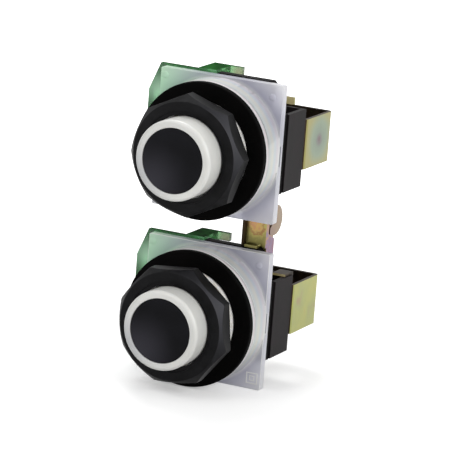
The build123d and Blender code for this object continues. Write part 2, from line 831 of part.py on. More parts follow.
def build_rear_bracket(z, has_lug):
    """Folded sheet bracket: the upper one has a lug on its rear wall, the lower one hooks over its block."""
    left_x = block_left_x - bracket_left_overhang
    right_x = block_right_x + bracket_right_overhang
    width = right_x - left_x
    middle = (left_x + width / 2, block_rear_y + bracket_depth / 2)
    with BuildPart() as bracket:
        with BuildSketch(Plane.XY.offset(z + bracket_low_z)):
            with Locations(middle):
                RectangleRounded(width, bracket_depth, bracket_t + bracket_bend_r)
                RectangleRounded(
                    width - 2 * bracket_t,
                    bracket_depth - 2 * bracket_t,
                    bracket_bend_r,
                    mode=Mode.SUBTRACT,
                )
        extrude(amount=bracket_top_z - bracket_low_z)
        opening_x = (left_x + bracket_foot_w, right_x - bracket_foot_w)
        wall_z = (z + bracket_low_z, z + bracket_top_z)
        add_box(opening_x, (block_rear_y, foot_rear_y), wall_z, Mode.SUBTRACT)
        for side in (-1, 1):
            hole_y = (block_rear_y, foot_rear_y)
            hole_z = z + side * bracket_screw_z
            add_rod(bracket_screw_r + slip_gap, wall_screw_x, hole_y, hole_z, Mode.SUBTRACT)
        if has_lug:
            lug_left_x = left_x + bracket_t
            lug_z = (z + bracket_top_z, z + bracket_top_z + lug_h)
            add_box((lug_left_x, lug_left_x + lug_w), (bracket_rear_y - bracket_t, bracket_rear_y), lug_z)
        else:
            hook_x = (right_x - hook_inset - hook_w, right_x - hook_inset)
            hook_low_z = z + block_top_z + slip_gap
            riser_z = (z + bracket_top_z, hook_low_z + hook_t)
            add_box(hook_x, (block_rear_y, foot_rear_y), riser_z)
            add_box(hook_x, (block_rear_y - hook_reach, block_rear_y), (hook_low_z, hook_low_z + hook_t))
    return bracket.part


def build_bracket_screws(z):
    """Two screws through the bracket's left foot and the block into the base plate."""
    with BuildPart() as screws:
        for side in (-1, 1):
            add_screw(
                wall_screw_x,
                z + side * bracket_screw_z,
                bracket_screw_head_r,
                bracket_screw_head_t,
                bracket_screw_r,
                foot_rear_y,
                flange_rear_y,
            )
    return screws.part


def build_link_channel():
    """Folded sheet link: its web ties the two base plates, its ear carries the rocker's pivot."""
    lower_base_top = -unit_pitch / 2 + base_top_z
    lower_block_top = -unit_pitch / 2 + block_top_z
    with BuildPart() as link:
        add_box((link_left_x, link_right_x), (base_rear_y, web_rear_y), (-link_half_h, link_half_h))
        with BuildSketch(section_plane(0, link_left_x)):
            with BuildLine():
                Polyline(
                    (base_rear_y, -link_ear_half_h),
                    (base_rear_y + link_ear_depth - link_t, -link_ear_half_h),
                    (base_rear_y + link_ear_depth, -link_ear_half_h + link_t),
                    (base_rear_y + link_ear_depth, link_ear_half_h - link_t),
                    (base_rear_y + link_ear_depth - link_t, link_ear_half_h),
                    (base_rear_y, link_ear_half_h),
                    close=True,
                )
            make_face()
        extrude(amount=link_t)
        with BuildSketch(section_plane(0, link_right_x - link_t)):
            with BuildLine():
                Polyline(
                    (base_rear_y, link_side_top_z + link_side_corner),
                    (base_rear_y + link_side_depth, link_side_top_z),
                    (base_rear_y + link_side_depth, lower_block_top + slip_gap),
                    (base_rear_y, lower_block_top + slip_gap),
                    close=True,
                )
            make_face()
        extrude(amount=link_t)
        lip_z = (lower_base_top + slip_gap, lower_base_top + slip_gap + link_lip_t)
        rim_z = (lower_base_top + slip_gap, link_rim_top_z)
        left_rim_x = (link_left_x, link_left_x + link_left_rim_t)
        add_box(left_rim_x, (base_rear_y - link_left_rim, base_rear_y), rim_z)
        right_rim_x = (link_right_x - link_t, link_right_x)
        add_box(right_rim_x, (base_rear_y - link_right_rim, base_rear_y), rim_z)
        lip_left_x = link_left_x + link_lip_inset
        lip_x = (lip_left_x, lip_left_x + link_lip_w)
        add_box(lip_x, (flange_rear_y + slip_gap, base_rear_y), lip_z)
        add_cross_rod(pivot_r + slip_gap, (link_left_x, link_left_x + link_t), pin_y, 0, Mode.SUBTRACT)
        for side in (-1, 1):
            hole_y = (base_rear_y, web_rear_y)
            add_rod(link_screw_r + slip_gap, link_screw_x, hole_y, side * link_screw_z, Mode.SUBTRACT)
    return link.part


def build_rocker():
    """Interlock lever: a fork at each end for the cross pins, a pivot boss and a round lobe."""
    pitch_half = unit_pitch / 2
    slot_half = pin_r + fork_gap
    slot_root = pin_r + rocker_reach
    with BuildPart() as rocker:
        with BuildSketch(section_plane(0, rocker_left_x)):
            with Locations((pin_y, 0)):
                Rectangle(rocker_arm_w, 2 * (pitch_half + rocker_reach))
                Circle(rocker_boss_r)
            with Locations((pin_y + lobe_back, lobe_rise)):
                Circle(lobe_r)
            fork_h = rocker_fork_root + rocker_reach
            for side in (-1, 1):
                fork_middle = side * (pitch_half + (rocker_reach - rocker_fork_root) / 2)
                with Locations((pin_y, fork_middle)):
                    Rectangle(rocker_fork_w, fork_h)
                slot_middle = side * (pitch_half + (rocker_reach - slot_root) / 2)
                with Locations((pin_y, slot_middle)):
                    Rectangle(2 * slot_half, slot_root + rocker_reach, mode=Mode.SUBTRACT)
            with Locations((pin_y, 0)):
                Circle(pivot_r + slip_gap, mode=Mode.SUBTRACT)
        extrude(amount=rocker_t)
    return rocker.part


def build_pivot_pin():
    """Rivet that the rocker turns on: a head outside the ear and one outside the rocker."""
    with BuildPart() as pin:
        add_cross_rod(pivot_r, (link_left_x, rocker_right_x + slip_gap), pin_y, 0)
        add_cross_rod(pivot_head_r, (link_left_x - pivot_head_t, link_left_x), pin_y, 0)
        right_head = (rocker_right_x + slip_gap, rocker_right_x + slip_gap + pivot_head_t)
        add_cross_rod(pivot_head_r, right_head, pin_y, 0)
    return pin.part


def build_pivot_spacer():
    """Bush that holds the rocker off the channel's ear."""
    span = (link_left_x + link_t, rocker_left_x - slip_gap)
    with BuildPart() as spacer:
        add_cross_rod(spacer_r, span, pin_y, 0)
        add_cross_rod(pivot_r + slip_gap, span, pin_y, 0, Mode.SUBTRACT)
    return spacer.part


def build_link_screws():
    """One screw at each end of the link, into the base plates."""
    with BuildPart() as screws:
        for side in (-1, 1):
            add_screw(
                link_screw_x,
                side * link_screw_z,
                link_screw_head_r,
                link_screw_head_t,
                link_screw_r,
                web_rear_y,
                flange_rear_y,
            )
    return screws.part


def save(part, name):
    """Labels a finished piece and writes it."""
    part.label = name
    export_step(part, f"parts/{name}.step")


# Pieces that both operators have alike
plain_pieces = {
    "button_insert": build_button_insert,
    "button_head": build_button_head,
    "plunger": build_plunger,
    "return_spring": build_return_spring,
    "shaft_seal": build_shaft_seal,
    "barrel": build_barrel,
    "gasket": build_gasket,
    "housing": build_housing,
    "base_plate": build_base_plate,
    "base_screws": build_base_screws,
    "cross_pin": build_cross_pin,
    "contact_cover": build_contact_cover,
    "contact_base": build_contact_base,
    "contact_slider": build_contact_slider,
    "contact_bridge": build_contact_bridge,
    "bridge_spring": build_bridge_spring,
    "fixed_contacts": build_fixed_contacts,
    "terminal_clamps": build_terminal_clamps,
    "terminal_screws": build_terminal_screws,
    "block_screws": build_block_screws,
    "interlock_block": build_interlock_block,
    "interlock_screws": build_interlock_screws,
    "bracket_screws": build_bracket_screws,
}
for unit, axis_z in (("upper", unit_pitch / 2), ("lower", -unit_pitch / 2)):
    for piece, build in plain_pieces.items():
        save(build(axis_z), f"{unit}_{piece}")

# Pieces that differ between the operators
lower_nut_front_y = nut_front_y - lower_nut_forward
save(build_ring_nut(unit_pitch / 2, upper_nut_turn, nut_front_y), "upper_ring_nut")
save(build_ring_nut(-unit_pitch / 2, lower_nut_turn, lower_nut_front_y), "lower_ring_nut")
save(build_rear_bracket(unit_pitch / 2, True), "upper_rear_bracket")
save(build_rear_bracket(-unit_pitch / 2, False), "lower_rear_bracket")

# Pieces shared by both operators
save(build_link_channel(), "link_channel")
save(build_rocker(), "rocker")
save(build_pivot_pin(), "pivot_pin")
save(build_pivot_spacer(), "pivot_spacer")
save(build_link_screws(), "link_screws")
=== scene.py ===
"""Looks of the interlocked pair of panel pushbuttons, with its studio and camera."""

import json
import logging
import math
from dataclasses import dataclass, field
from enum import Enum

import bmesh
import bpy
from mathutils import Matrix, Vector

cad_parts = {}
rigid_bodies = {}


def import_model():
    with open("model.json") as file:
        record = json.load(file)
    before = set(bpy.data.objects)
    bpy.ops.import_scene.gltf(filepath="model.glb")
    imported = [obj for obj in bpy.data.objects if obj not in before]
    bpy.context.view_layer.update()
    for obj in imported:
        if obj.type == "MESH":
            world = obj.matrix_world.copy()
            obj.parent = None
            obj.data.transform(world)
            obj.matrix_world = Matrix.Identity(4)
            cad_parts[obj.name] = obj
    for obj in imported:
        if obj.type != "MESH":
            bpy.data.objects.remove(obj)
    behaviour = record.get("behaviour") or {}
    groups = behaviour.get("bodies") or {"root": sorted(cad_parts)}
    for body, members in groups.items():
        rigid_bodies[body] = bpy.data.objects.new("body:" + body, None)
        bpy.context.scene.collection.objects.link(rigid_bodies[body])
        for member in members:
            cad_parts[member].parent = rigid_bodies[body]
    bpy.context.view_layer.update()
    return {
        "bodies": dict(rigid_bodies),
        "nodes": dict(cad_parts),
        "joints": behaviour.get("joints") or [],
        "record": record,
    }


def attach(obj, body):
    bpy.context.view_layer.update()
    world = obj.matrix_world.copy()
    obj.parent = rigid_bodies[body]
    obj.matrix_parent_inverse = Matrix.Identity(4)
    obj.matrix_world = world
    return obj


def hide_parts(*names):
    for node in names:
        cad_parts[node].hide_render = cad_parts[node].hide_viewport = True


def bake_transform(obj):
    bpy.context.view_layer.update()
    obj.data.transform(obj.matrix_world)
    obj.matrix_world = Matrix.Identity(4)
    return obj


Socket = bpy.types.NodeSocket
Place = tuple[float, float, float]
Pair = tuple[float, float]
Stops = tuple[tuple[float, str], ...]

MM = 0.001
UNIT_AXIS_MM = 28.575
UNITS = {"upper": UNIT_AXIS_MM, "lower": -UNIT_AXIS_MM}
SHEET_EDGE_MM = 0.12
SHARP_EDGE_DEG = 38.0
ROUNDED_EDGE_DEG = 28.0
FACES_ALIKE_DEG = 0.5
WELD_MM = 0.002
FACING = 0.7

log = logging.getLogger("pushbuttons")


def linear_colour(hex_code: str) -> tuple[float, float, float, float]:
    """Turns an sRGB hex colour to the linear values that shaders take.

    Args:
        hex_code: Six hex digits, such as "28282d".

    Returns:
        Red, green, blue and alpha.
    """
    channels = [int(hex_code[i : i + 2], 16) / 255.0 for i in (0, 2, 4)]
    linear = [c / 12.92 if c <= 0.04045 else ((c + 0.055) / 1.055) ** 2.4 for c in channels]
    return (*linear, 1.0)


def set_stops(ramp: bpy.types.ColorRamp, stops: Stops) -> None:
    """Gives a colour ramp its stops.

    Args:
        ramp: The ramp, with the two stops that it starts with.
        stops: Position and sRGB hex colour of each stop, in rising order.
    """
    elements = ramp.elements
    while len(elements) > 1:
        elements.remove(elements[-1])
    elements[0].position = stops[0][0]
    elements[0].color = linear_colour(stops[0][1])
    for position, hex_code in stops[1:]:
        elements.new(position).color = linear_colour(hex_code)


def add_node(
    tree: bpy.types.NodeTree,
    kind: str,
    settings: dict[str, object] | None = None,
    inputs: dict[object, object] | None = None,
) -> bpy.types.Node:
    """Adds one node, sets it and links its inputs.

    Args:
        tree: Node tree that gets the node.
        kind: Blender's node type name.
        settings: Attributes of the node itself, or "stops" for those of its colour ramp.
        inputs: Input name or number to a value, or to an output socket that feeds it.

    Returns:
        The new node.
    """
    node = tree.nodes.new(kind)
    for name, value in (settings or {}).items():
        if name == "stops":
            set_stops(node.color_ramp, value)
        else:
            setattr(node, name, value)
    for name, value in (inputs or {}).items():
        if isinstance(value, Socket):
            tree.links.new(value, node.inputs[name])
        else:
            node.inputs[name].default_value = value
    return node


def pattern_scale(size_mm: float) -> float:
    """Gives a pattern's scale from the real size of its patches, in millimetres."""
    return 1.0 / (size_mm * MM)


def add_spot(
    tree: bpy.types.NodeTree,
    place: Socket,
    point_mm: Place,
    reach_mm: float,
    values: Pair = (1.0, 0.0),
) -> Socket:
    """Adds a value that changes smoothly with the distance from a point.

    Args:
        tree: Node tree that gets the nodes.
        place: Object coordinates.
        point_mm: The point, in millimetres.
        reach_mm: Distance at which the change ends, in millimetres.
        values: Value at the point, and at the reach and past it.

    Returns:
        The value.
    """
    inputs = {0: place, 1: tuple(value * MM for value in point_mm)}
    offset = add_node(tree, "ShaderNodeVectorMath", {"operation": "DISTANCE"}, inputs)
    inputs = {"Value": offset.outputs["Value"], "From Max": reach_mm * MM}
    inputs |= {"To Min": values[0], "To Max": values[1]}
    spot = add_node(tree, "ShaderNodeMapRange", {"interpolation_type": "SMOOTHSTEP"}, inputs)
    return spot.outputs["Result"]


@dataclass(frozen=True)
class Spot:
    """Place at which a plastic has another tone, which fades away at the spot's reach: mostly
    painted light or shade, and on the cover's tab a paler tone.
    """

    place_mm: Place
    reach_mm: float
    colour: str
    clearness: float = 0.0


@dataclass(frozen=True)
class Finish:
    """What all finishes share: a name, the record's slot and a base colour."""

    name: str
    slot: str
    colour: str

    def material(self) -> bpy.types.Material:
        """Gives the finish's material.

        Returns:
            The material, which is made at the first call.
        """
        made = bpy.data.materials.get(self.name)
        if made is None:
            made = bpy.data.materials.new(self.name)
            made.use_nodes = True
            made.diffuse_color = linear_colour(self.colour)
            tree = made.node_tree
            tree.nodes.clear()
            place = add_node(tree, "ShaderNodeTexCoord").outputs["Object"]
            shader = add_node(tree, "ShaderNodeBsdfPrincipled", inputs=self.surface(tree, place))
            add_node(tree, "ShaderNodeOutputMaterial", inputs={0: shader.outputs[0]})
        return made

    def surface(self, tree: bpy.types.NodeTree, place: Socket) -> dict[str, object]:
        """Adds the nodes that feed the shader and gives the shader's inputs."""
        raise NotImplementedError


@dataclass(frozen=True)
class MouldedPlastic(Finish):
    """Opaque moulded plastic or rubber: a fine grain, and patches a little lighter and rougher."""

    light: str = "3a3a3e"
    roughness: float = 0.45
    rougher: float = 0.1
    grain_mm: float = 0.5
    grain_depth_mm: float = 0.01
    patch_mm: float = 9.0
    specular: float = 0.35
    subsurface: float = 0.0
    spot: Spot | None = None

    def surface(self, tree: bpy.types.NodeTree, place: Socket) -> dict[str, object]:
        """Adds the nodes that feed the shader.

        Args:
            tree: Node tree of the new material.
            place: Object coordinates.

        Returns:
            The shader's inputs.
        """
        inputs = {"Vector": place, "Scale": pattern_scale(self.patch_mm), "Detail": 3.0}
        patches = add_node(tree, "ShaderNodeTexNoise", inputs=inputs).outputs["Fac"]
        settings = {"stops": ((0.35, self.colour), (0.75, self.light))}
        tones = add_node(tree, "ShaderNodeValToRGB", settings, {"Fac": patches})
        colour = tones.outputs["Color"]
        # Painted light: the spot mixes a painted reflection, highlight or shade into the colour at
        # one place.
        if self.spot:
            near = add_spot(tree, place, self.spot.place_mm, self.spot.reach_mm)
            inputs = {0: near, 6: colour, 7: linear_colour(self.spot.colour)}
            colour = add_node(tree, "ShaderNodeMix", {"data_type": "RGBA"}, inputs).outputs[2]
        rough = self.roughness + self.rougher
        inputs = {"Value": patches, "To Min": self.roughness, "To Max": rough}
        roughness = add_node(tree, "ShaderNodeMapRange", inputs=inputs)
        inputs = {"Vector": place, "Scale": pattern_scale(self.grain_mm), "Detail": 2.0}
        grain = add_node(tree, "ShaderNodeTexNoise", inputs=inputs)
        inputs = {"Height": grain.outputs["Fac"], "Distance": self.grain_depth_mm * MM}
        relief = add_node(tree, "ShaderNodeBump", inputs=inputs)
        return {
            "Base Color": colour,
            "Roughness": roughness.outputs["Result"],
            "IOR": 1.5,
            "Specular IOR Level": self.specular,
            "Subsurface Weight": self.subsurface,
            "Subsurface Radius": (1.0, 0.9, 0.75),
            "Subsurface Scale": 0.8 * MM,
            "Normal": relief.outputs["Normal"],
        }


@dataclass(frozen=True)
class ClearPlastic(Finish):
    """Plastic that lets light through: clear or milky, with soft clouds and flow waves."""

    cloud: str = "ffffff"
    transmission: float = 0.6
    roughness: float = 0.3
    ior: float = 1.5
    cloud_mm: float = 12.0
    wave_depth_mm: float = 0.02
    specular: float = 0.5
    spots: tuple[Spot, ...] = ()
    bands: Stops = ()
    bands_axis_mm: float = 0.0
    bands_span_mm: Pair = (25.7, 45.7)

    def banded(self, tree: bpy.types.NodeTree, place: Socket, colour: Socket) -> Socket:
        """Lays tones over a colour by the sum of depth and distance from the axis.

        Args:
            tree: Node tree of the new material.
            place: Object coordinates.
            colour: The colour below.

        Returns:
            The toned colour.
        """
        inputs = {0: place, 1: (1.0, 0.0, 1.0)}
        flat = add_node(tree, "ShaderNodeVectorMath", {"operation": "MULTIPLY"}, inputs)
        inputs = {0: flat.outputs["Vector"], 1: (0.0, 0.0, self.bands_axis_mm * MM)}
        radius = add_node(tree, "ShaderNodeVectorMath", {"operation": "DISTANCE"}, inputs)
        split = add_node(tree, "ShaderNodeSeparateXYZ", inputs={0: place})
        inputs = {0: radius.outputs["Value"], 1: split.outputs["Y"]}
        run = add_node(tree, "ShaderNodeMath", {"operation": "ADD"}, inputs)
        start, end = self.bands_span_mm
        inputs = {"Value": run.outputs[0], "From Min": start * MM, "From Max": end * MM}
        share = add_node(tree, "ShaderNodeMapRange", inputs=inputs)
        inputs = {"Fac": share.outputs["Result"]}
        tones = add_node(tree, "ShaderNodeValToRGB", {"stops": self.bands}, inputs)
        settings = {"data_type": "RGBA", "blend_type": "MULTIPLY"}
        inputs = {0: 1.0, 6: colour, 7: tones.outputs["Color"]}
        return add_node(tree, "ShaderNodeMix", settings, inputs).outputs[2]

    def surface(self, tree: bpy.types.NodeTree, place: Socket) -> dict[str, object]:
        """Adds the nodes that feed the shader.

        Args:
            tree: Node tree of the new material.
            place: Object coordinates.

        Returns:
            The shader's inputs.
        """
        inputs = {"Vector": place, "Scale": pattern_scale(self.cloud_mm), "Detail": 2.0}
        clouds = add_node(tree, "ShaderNodeTexNoise", inputs=inputs).outputs["Fac"]
        settings = {"stops": ((0.3, self.colour), (0.7, self.cloud))}
        tones = add_node(tree, "ShaderNodeValToRGB", settings, {"Fac": clouds})
        colour = tones.outputs["Color"]
        clearness: object = self.transmission
        # Painted light: the spots mix in painted glows, highlights and shade, each with its own
        # clearness; the cover's tab spot is a paler tone of the plastic.
        for spot in self.spots:
            near = add_spot(tree, place, spot.place_mm, spot.reach_mm)
            inputs = {0: near, 6: colour, 7: linear_colour(spot.colour)}
            colour = add_node(tree, "ShaderNodeMix", {"data_type": "RGBA"}, inputs).outputs[2]
            inputs = {0: near, 2: clearness, 3: spot.clearness}
            clearness = add_node(tree, "ShaderNodeMix", {"data_type": "FLOAT"}, inputs).outputs[0]
        # Painted light: the bands lay painted highlights and shade round the boss over the colour.
        if self.bands:
            colour = self.banded(tree, place, colour)
        inputs = {"Height": clouds, "Distance": self.wave_depth_mm * MM}
        waves = add_node(tree, "ShaderNodeBump", inputs=inputs)
        return {
            "Base Color": colour,
            "Roughness": self.roughness,
            "IOR": self.ior,
            "Specular IOR Level": self.specular,
            "Transmission Weight": clearness,
            "Normal": waves.outputs["Normal"],
        }


@dataclass(frozen=True)
class ChromateSheet(Finish):
    """Zinc-plated steel sheet with a yellow chromate film, coloured by its thickness."""

    stops: Stops = ()
    patch_mm: float = 7.0
    spot_mm: Place | None = None
    spot_reach_mm: float = 9.0
    drift_share: float = 0.3
    roughness: float = 0.34
    rolling_mm: float = 0.25
    rolling_depth_mm: float = 0.004

    def surface(self, tree: bpy.types.NodeTree, place: Socket) -> dict[str, object]:
        """Adds the nodes that feed the shader.

        Args:
            tree: Node tree of the new material.
            place: Object coordinates.

        Returns:
            The shader's inputs.
        """
        inputs = {"Vector": place, "Scale": pattern_scale(self.patch_mm)}
        inputs |= {"Detail": 2.5, "Distortion": 0.4}
        film = add_node(tree, "ShaderNodeTexNoise", inputs=inputs).outputs["Fac"]
        if self.spot_mm:
            ring = add_spot(tree, place, self.spot_mm, self.spot_reach_mm, (-0.15, 0.85))
            inputs = {0: film, 1: self.drift_share, 2: ring}
            film = add_node(
                tree, "ShaderNodeMath", {"operation": "MULTIPLY_ADD"}, inputs
            ).outputs[0]
        inputs = {"Vector": place, "Scale": (1.0, 1.0, 0.06)}
        stretch = add_node(tree, "ShaderNodeMapping", inputs=inputs).outputs["Vector"]
        inputs = {"Vector": stretch, "Scale": pattern_scale(self.rolling_mm), "Detail": 2.0}
        rolling = add_node(tree, "ShaderNodeTexNoise", inputs=inputs).outputs["Fac"]
        tones = add_node(tree, "ShaderNodeValToRGB", {"stops": self.stops}, {"Fac": film})
        smooth, rough = self.roughness - 0.05, self.roughness + 0.1
        inputs = {"Value": rolling, "To Min": smooth, "To Max": rough}
        roughness = add_node(tree, "ShaderNodeMapRange", inputs=inputs)
        inputs = {"Height": rolling, "Distance": self.rolling_depth_mm * MM}
        relief = add_node(tree, "ShaderNodeBump", inputs=inputs)
        return {
            "Base Color": tones.outputs["Color"],
            "Metallic": 1.0,
            "Roughness": roughness.outputs["Result"],
            "Normal": relief.outputs["Normal"],
        }


@dataclass(frozen=True)
class BareMetal(Finish):
    """Turned, drawn or stamped metal: fine tool marks and slightly uneven polish."""

    dull: str = "9a9a98"
    metallic: float = 1.0
    roughness: float = 0.25
    mark_mm: float = 0.3
    mark_depth_mm: float = 0.004

    def surface(self, tree: bpy.types.NodeTree, place: Socket) -> dict[str, object]:
        """Adds the nodes that feed the shader.

        Args:
            tree: Node tree of the new material.
            place: Object coordinates.

        Returns:
            The shader's inputs.
        """
        inputs = {"Vector": place, "Scale": pattern_scale(self.mark_mm), "Detail": 3.0}
        marks = add_node(tree, "ShaderNodeTexNoise", inputs=inputs).outputs["Fac"]
        settings = {"stops": ((0.3, self.dull), (0.6, self.colour))}
        tones = add_node(tree, "ShaderNodeValToRGB", settings, {"Fac": marks})
        rough, smooth = self.roughness + 0.12, self.roughness - 0.04
        inputs = {"Value": marks, "To Min": rough, "To Max": smooth}
        roughness = add_node(tree, "ShaderNodeMapRange", inputs=inputs)
        inputs = {"Height": marks, "Distance": self.mark_depth_mm * MM}
        relief = add_node(tree, "ShaderNodeBump", inputs=inputs)
        return {
            "Base Color": tones.outputs["Color"],
            "Metallic": self.metallic,
            "Roughness": roughness.outputs["Result"],
            "Normal": relief.outputs["Normal"],
        }


# Black ABS disc, moulded in a finely textured tool: almost no gloss, with a painted reflection
# that makes it paler towards the lower left.
GRAINED_BLACK_ABS = {
    unit: MouldedPlastic(
        f"grained_black_abs_{unit}", "black_insert_plastic", "07070a", light="111115",
        roughness=0.5, rougher=0.12, grain_mm=0.45, grain_depth_mm=0.012, specular=0.08,
        spot=Spot((-7.0, -20.4, axis - 8.0), 15.0, "302f35"),
    )
    for unit, axis in UNITS.items()
}
# Off-white urea moulding: smooth, warm, with light that soaks in a little at the rim, and painted
# grey shade on the head's lower left.
OFF_WHITE_UREA = {
    unit: MouldedPlastic(
        f"off_white_urea_{unit}", "cream_plastic", "cfcfcb", light="dcdcd8",
        roughness=0.3, rougher=0.08, grain_mm=1.6, grain_depth_mm=0.006, patch_mm=14.0,
        specular=0.45, subsurface=0.15, spot=Spot((-12.0, -20.0, axis - 7.0), 17.0, "b4b5b6"),
    )
    for unit, axis in UNITS.items()
}
# Black glass-filled nylon nut: its face and flats are satin and nearly black.
GLASS_FILLED_NYLON = MouldedPlastic(
    "glass_filled_nylon", "black_nut_plastic", "060607", light="141416",
    roughness=0.34, rougher=0.16, grain_mm=0.5, grain_depth_mm=0.02, patch_mm=5.0, specular=0.09,
)
# The same nylon on the nut's cone, with its own mottling and a painted grey highlight towards the
# upper right.
CONE_NYLON_PAINTED_HIGHLIGHT = {
    unit: MouldedPlastic(
        f"scuffed_glass_filled_nylon_{unit}", "black_nut_plastic", "070708", light="19191b",
        roughness=0.38, rougher=0.16, grain_mm=0.6, grain_depth_mm=0.03, patch_mm=3.0,
        specular=0.09, spot=Spot((17.5, -10.0, axis + 9.0), 21.0, "3c3c40"),
    )
    for unit, axis in UNITS.items()
}
# Nitrile rubber sheet washer: dull and nearly black.
NITRILE_RUBBER = MouldedPlastic(
    "nitrile_rubber", "gasket_rubber", "020202", light="070606",
    roughness=0.6, rougher=0.15, grain_mm=0.4, grain_depth_mm=0.01, specular=0.03,
)
# Wiper ring: the same dullness, a little paler from the grease.
SEAL_RUBBER = MouldedPlastic(
    "seal_rubber_compound", "seal_rubber", "101010", light="1a1a1a", roughness=0.6, specular=0.1,
)
# Phenolic moulding: charcoal with a purple-brown cast and dusty patches.
CHARCOAL_PHENOLIC = MouldedPlastic(
    "charcoal_phenolic", "charcoal_plastic", "0f0c0d", light="201b1d",
    roughness=0.5, rougher=0.15, grain_mm=0.7, grain_depth_mm=0.02, patch_mm=4.0, specular=0.1,
)
# The plate and the contact bases: phenolic too, blacker and smoother.
BLACK_PHENOLIC = MouldedPlastic(
    "black_phenolic", "black_base_plastic", "060506", light="0e0c0d",
    roughness=0.5, rougher=0.16, grain_mm=0.7, grain_depth_mm=0.012, patch_mm=6.0, specular=0.04,
)
# Undyed nylon of the sliding parts: ivory, waxy, with light that soaks in.
NATURAL_NYLON = MouldedPlastic(
    "natural_nylon", "nylon_plastic", "dcd8ca", light="e8e5da", roughness=0.4, subsurface=0.2,
)
# Tones from the gasket outwards, partly the plastic's own and partly painted highlights and shade
# on the boss's rings: a painted bright line, the creamy boss, its lilac foot and the flange.
HOUSING_TONES_AND_PAINTED_LIGHT = (
    (0.0, "ffffff"),
    (0.05, "fff2f0"),
    (0.1, "d6dcdb"),
    (0.18, "e6ece8"),
    (0.27, "f0efe4"),
    (0.36, "e0e8ee"),
    (0.45, "ece6ea"),
    (0.52, "f4f4f4"),
    (0.58, "cdcdda"),
    (0.75, "eaeaf2"),
    (1.0, "ffffff"),
)
# Natural polypropylene: milky, lilac where it is dark behind, with painted green light at the
# upper left corner over the contact cover and a painted highlight on the right of the flange.
MILKY_POLYPROPYLENE = {
    unit: ClearPlastic(
        f"milky_polypropylene_{unit}", "milky_plastic", "e4e4ea", cloud="f2f2f4",
        transmission=0.36, roughness=0.36, ior=1.45, cloud_mm=9.0, wave_depth_mm=0.05,
        spots=(
            Spot((-24.0, 13.0, axis + 15.0), 28.0, "c8f4cc", 0.2),
            Spot((24.0, 15.0, axis - 4.0), 16.0, "f6f8f4", 0.25),
        ),
        bands=HOUSING_TONES_AND_PAINTED_LIGHT, bands_axis_mm=axis,
    )
    for unit, axis in UNITS.items()
}
# The same plastic at its thin edges and on the raised mark, painted whiter than its faces: a
# painted highlight for the light that thin edges gather.
MILKY_EDGE_HIGHLIGHT = ClearPlastic(
    "milky_polypropylene_edge_highlight", "milky_plastic", "eeeeec", cloud="fafaf8",
    transmission=0.15, roughness=0.36, ior=1.45,
)
# Clear green polycarbonate: glossy, with a painted pale-green glow by the housing's upper corner
# and painted deep-green shade at the ridge, where walls lie behind each other.
GREEN_POLYCARBONATE = {
    unit: ClearPlastic(
        f"green_polycarbonate_{unit}", "green_clear_plastic", "66ad74", cloud="80c08a",
        transmission=0.8, roughness=0.1, ior=1.4, cloud_mm=6.0, wave_depth_mm=0.04, specular=0.04,
        spots=(
            Spot((-24.0, 16.2, axis + 15.0), 9.0, "c8eed2", 0.3),
            Spot((-8.0, 20.0, axis + 24.0), 9.0, "2c7434", 0.3),
            Spot((-0.5, 28.5, axis + 22.5), 5.0, "b4b296", 0.5),
        ),
    )
    for unit, axis in UNITS.items()
}
# The same plastic on the upward faces of the rib along the top, in painted dark shade with hardly
# any light coming through.
GREEN_RIB_PAINTED_SHADE = ClearPlastic(
    "green_polycarbonate_rib_painted_shade", "green_clear_plastic", "09330d", cloud="1f5c22",
    transmission=0.03, roughness=0.45, ior=1.2, cloud_mm=4.0, specular=0.01,
)
# The same plastic at its rounded edges, in painted dark-green shade for the light that runs along
# the wall.
GREEN_EDGE_PAINTED_SHADE = ClearPlastic(
    "green_polycarbonate_edge_painted_shade", "green_clear_plastic", "0c2f14", cloud="164420",
    transmission=0.2, roughness=0.3, ior=1.4, specular=0.1,
)
# Tones of the chromate film, from its thinnest to its thickest places.
CHROMATE_STOPS = (
    (0.26, "938560"),
    (0.36, "91945f"),
    (0.5, "96985a"),
    (0.62, "9b9a59"),
    (0.76, "9a8950"),
)
SPOT_STOPS = (
    (0.01, "5e474b"),
    (0.05, "666460"),
    (0.14, "6c7869"),
    (0.5, "75816e"),
    (0.78, "808260"),
    (0.95, "868152"),
)
GOLD_STOPS = (
    (0.05, "b0866e"),
    (0.14, "c09c68"),
    (0.24, "b08462"),
    (0.34, "b8985e"),
    (0.46, "ab9460"),
    (0.56, "94704c"),
    (0.66, "a49a5c"),
    (0.9, "8c8654"),
)
ROSE_STOPS = (
    (0.34, "7c5a66"),
    (0.5, "75637a"),
    (0.64, "94735a"),
)
# Yellow chromate on zinc: olive yellow with greener and browner clouds, satin under the light.
YELLOW_CHROMATE = ChromateSheet(
    "yellow_chromate_sheet", "yellow_zinc_sheet", "acaa7c", stops=CHROMATE_STOPS
)
# The same film round the drip mark on the upper bracket's side: green, grey and a rose middle.
SPOTTED_CHROMATE = ChromateSheet(
    "spotted_chromate_sheet", "yellow_zinc_sheet", "98a897", stops=SPOT_STOPS,
    spot_mm=(22.9, 45.0, 29.5), spot_reach_mm=12.0,
)
# The link's film is thicker: gold with copper flecks in the middle, olive-brown towards its ends.
GOLD_CHROMATE = ChromateSheet(
    "gold_chromate_sheet", "yellow_zinc_sheet", "a68c5e", stops=GOLD_STOPS, patch_mm=1.9,
    spot_mm=(13.8, 19.5, 3.0), spot_reach_mm=9.0, drift_share=0.8,
)
# The folded sides turned away from the light show the film's rose tone.
ROSE_CHROMATE = ChromateSheet(
    "rose_chromate_sheet", "yellow_zinc_sheet", "98858c", stops=ROSE_STOPS, patch_mm=3.2
)
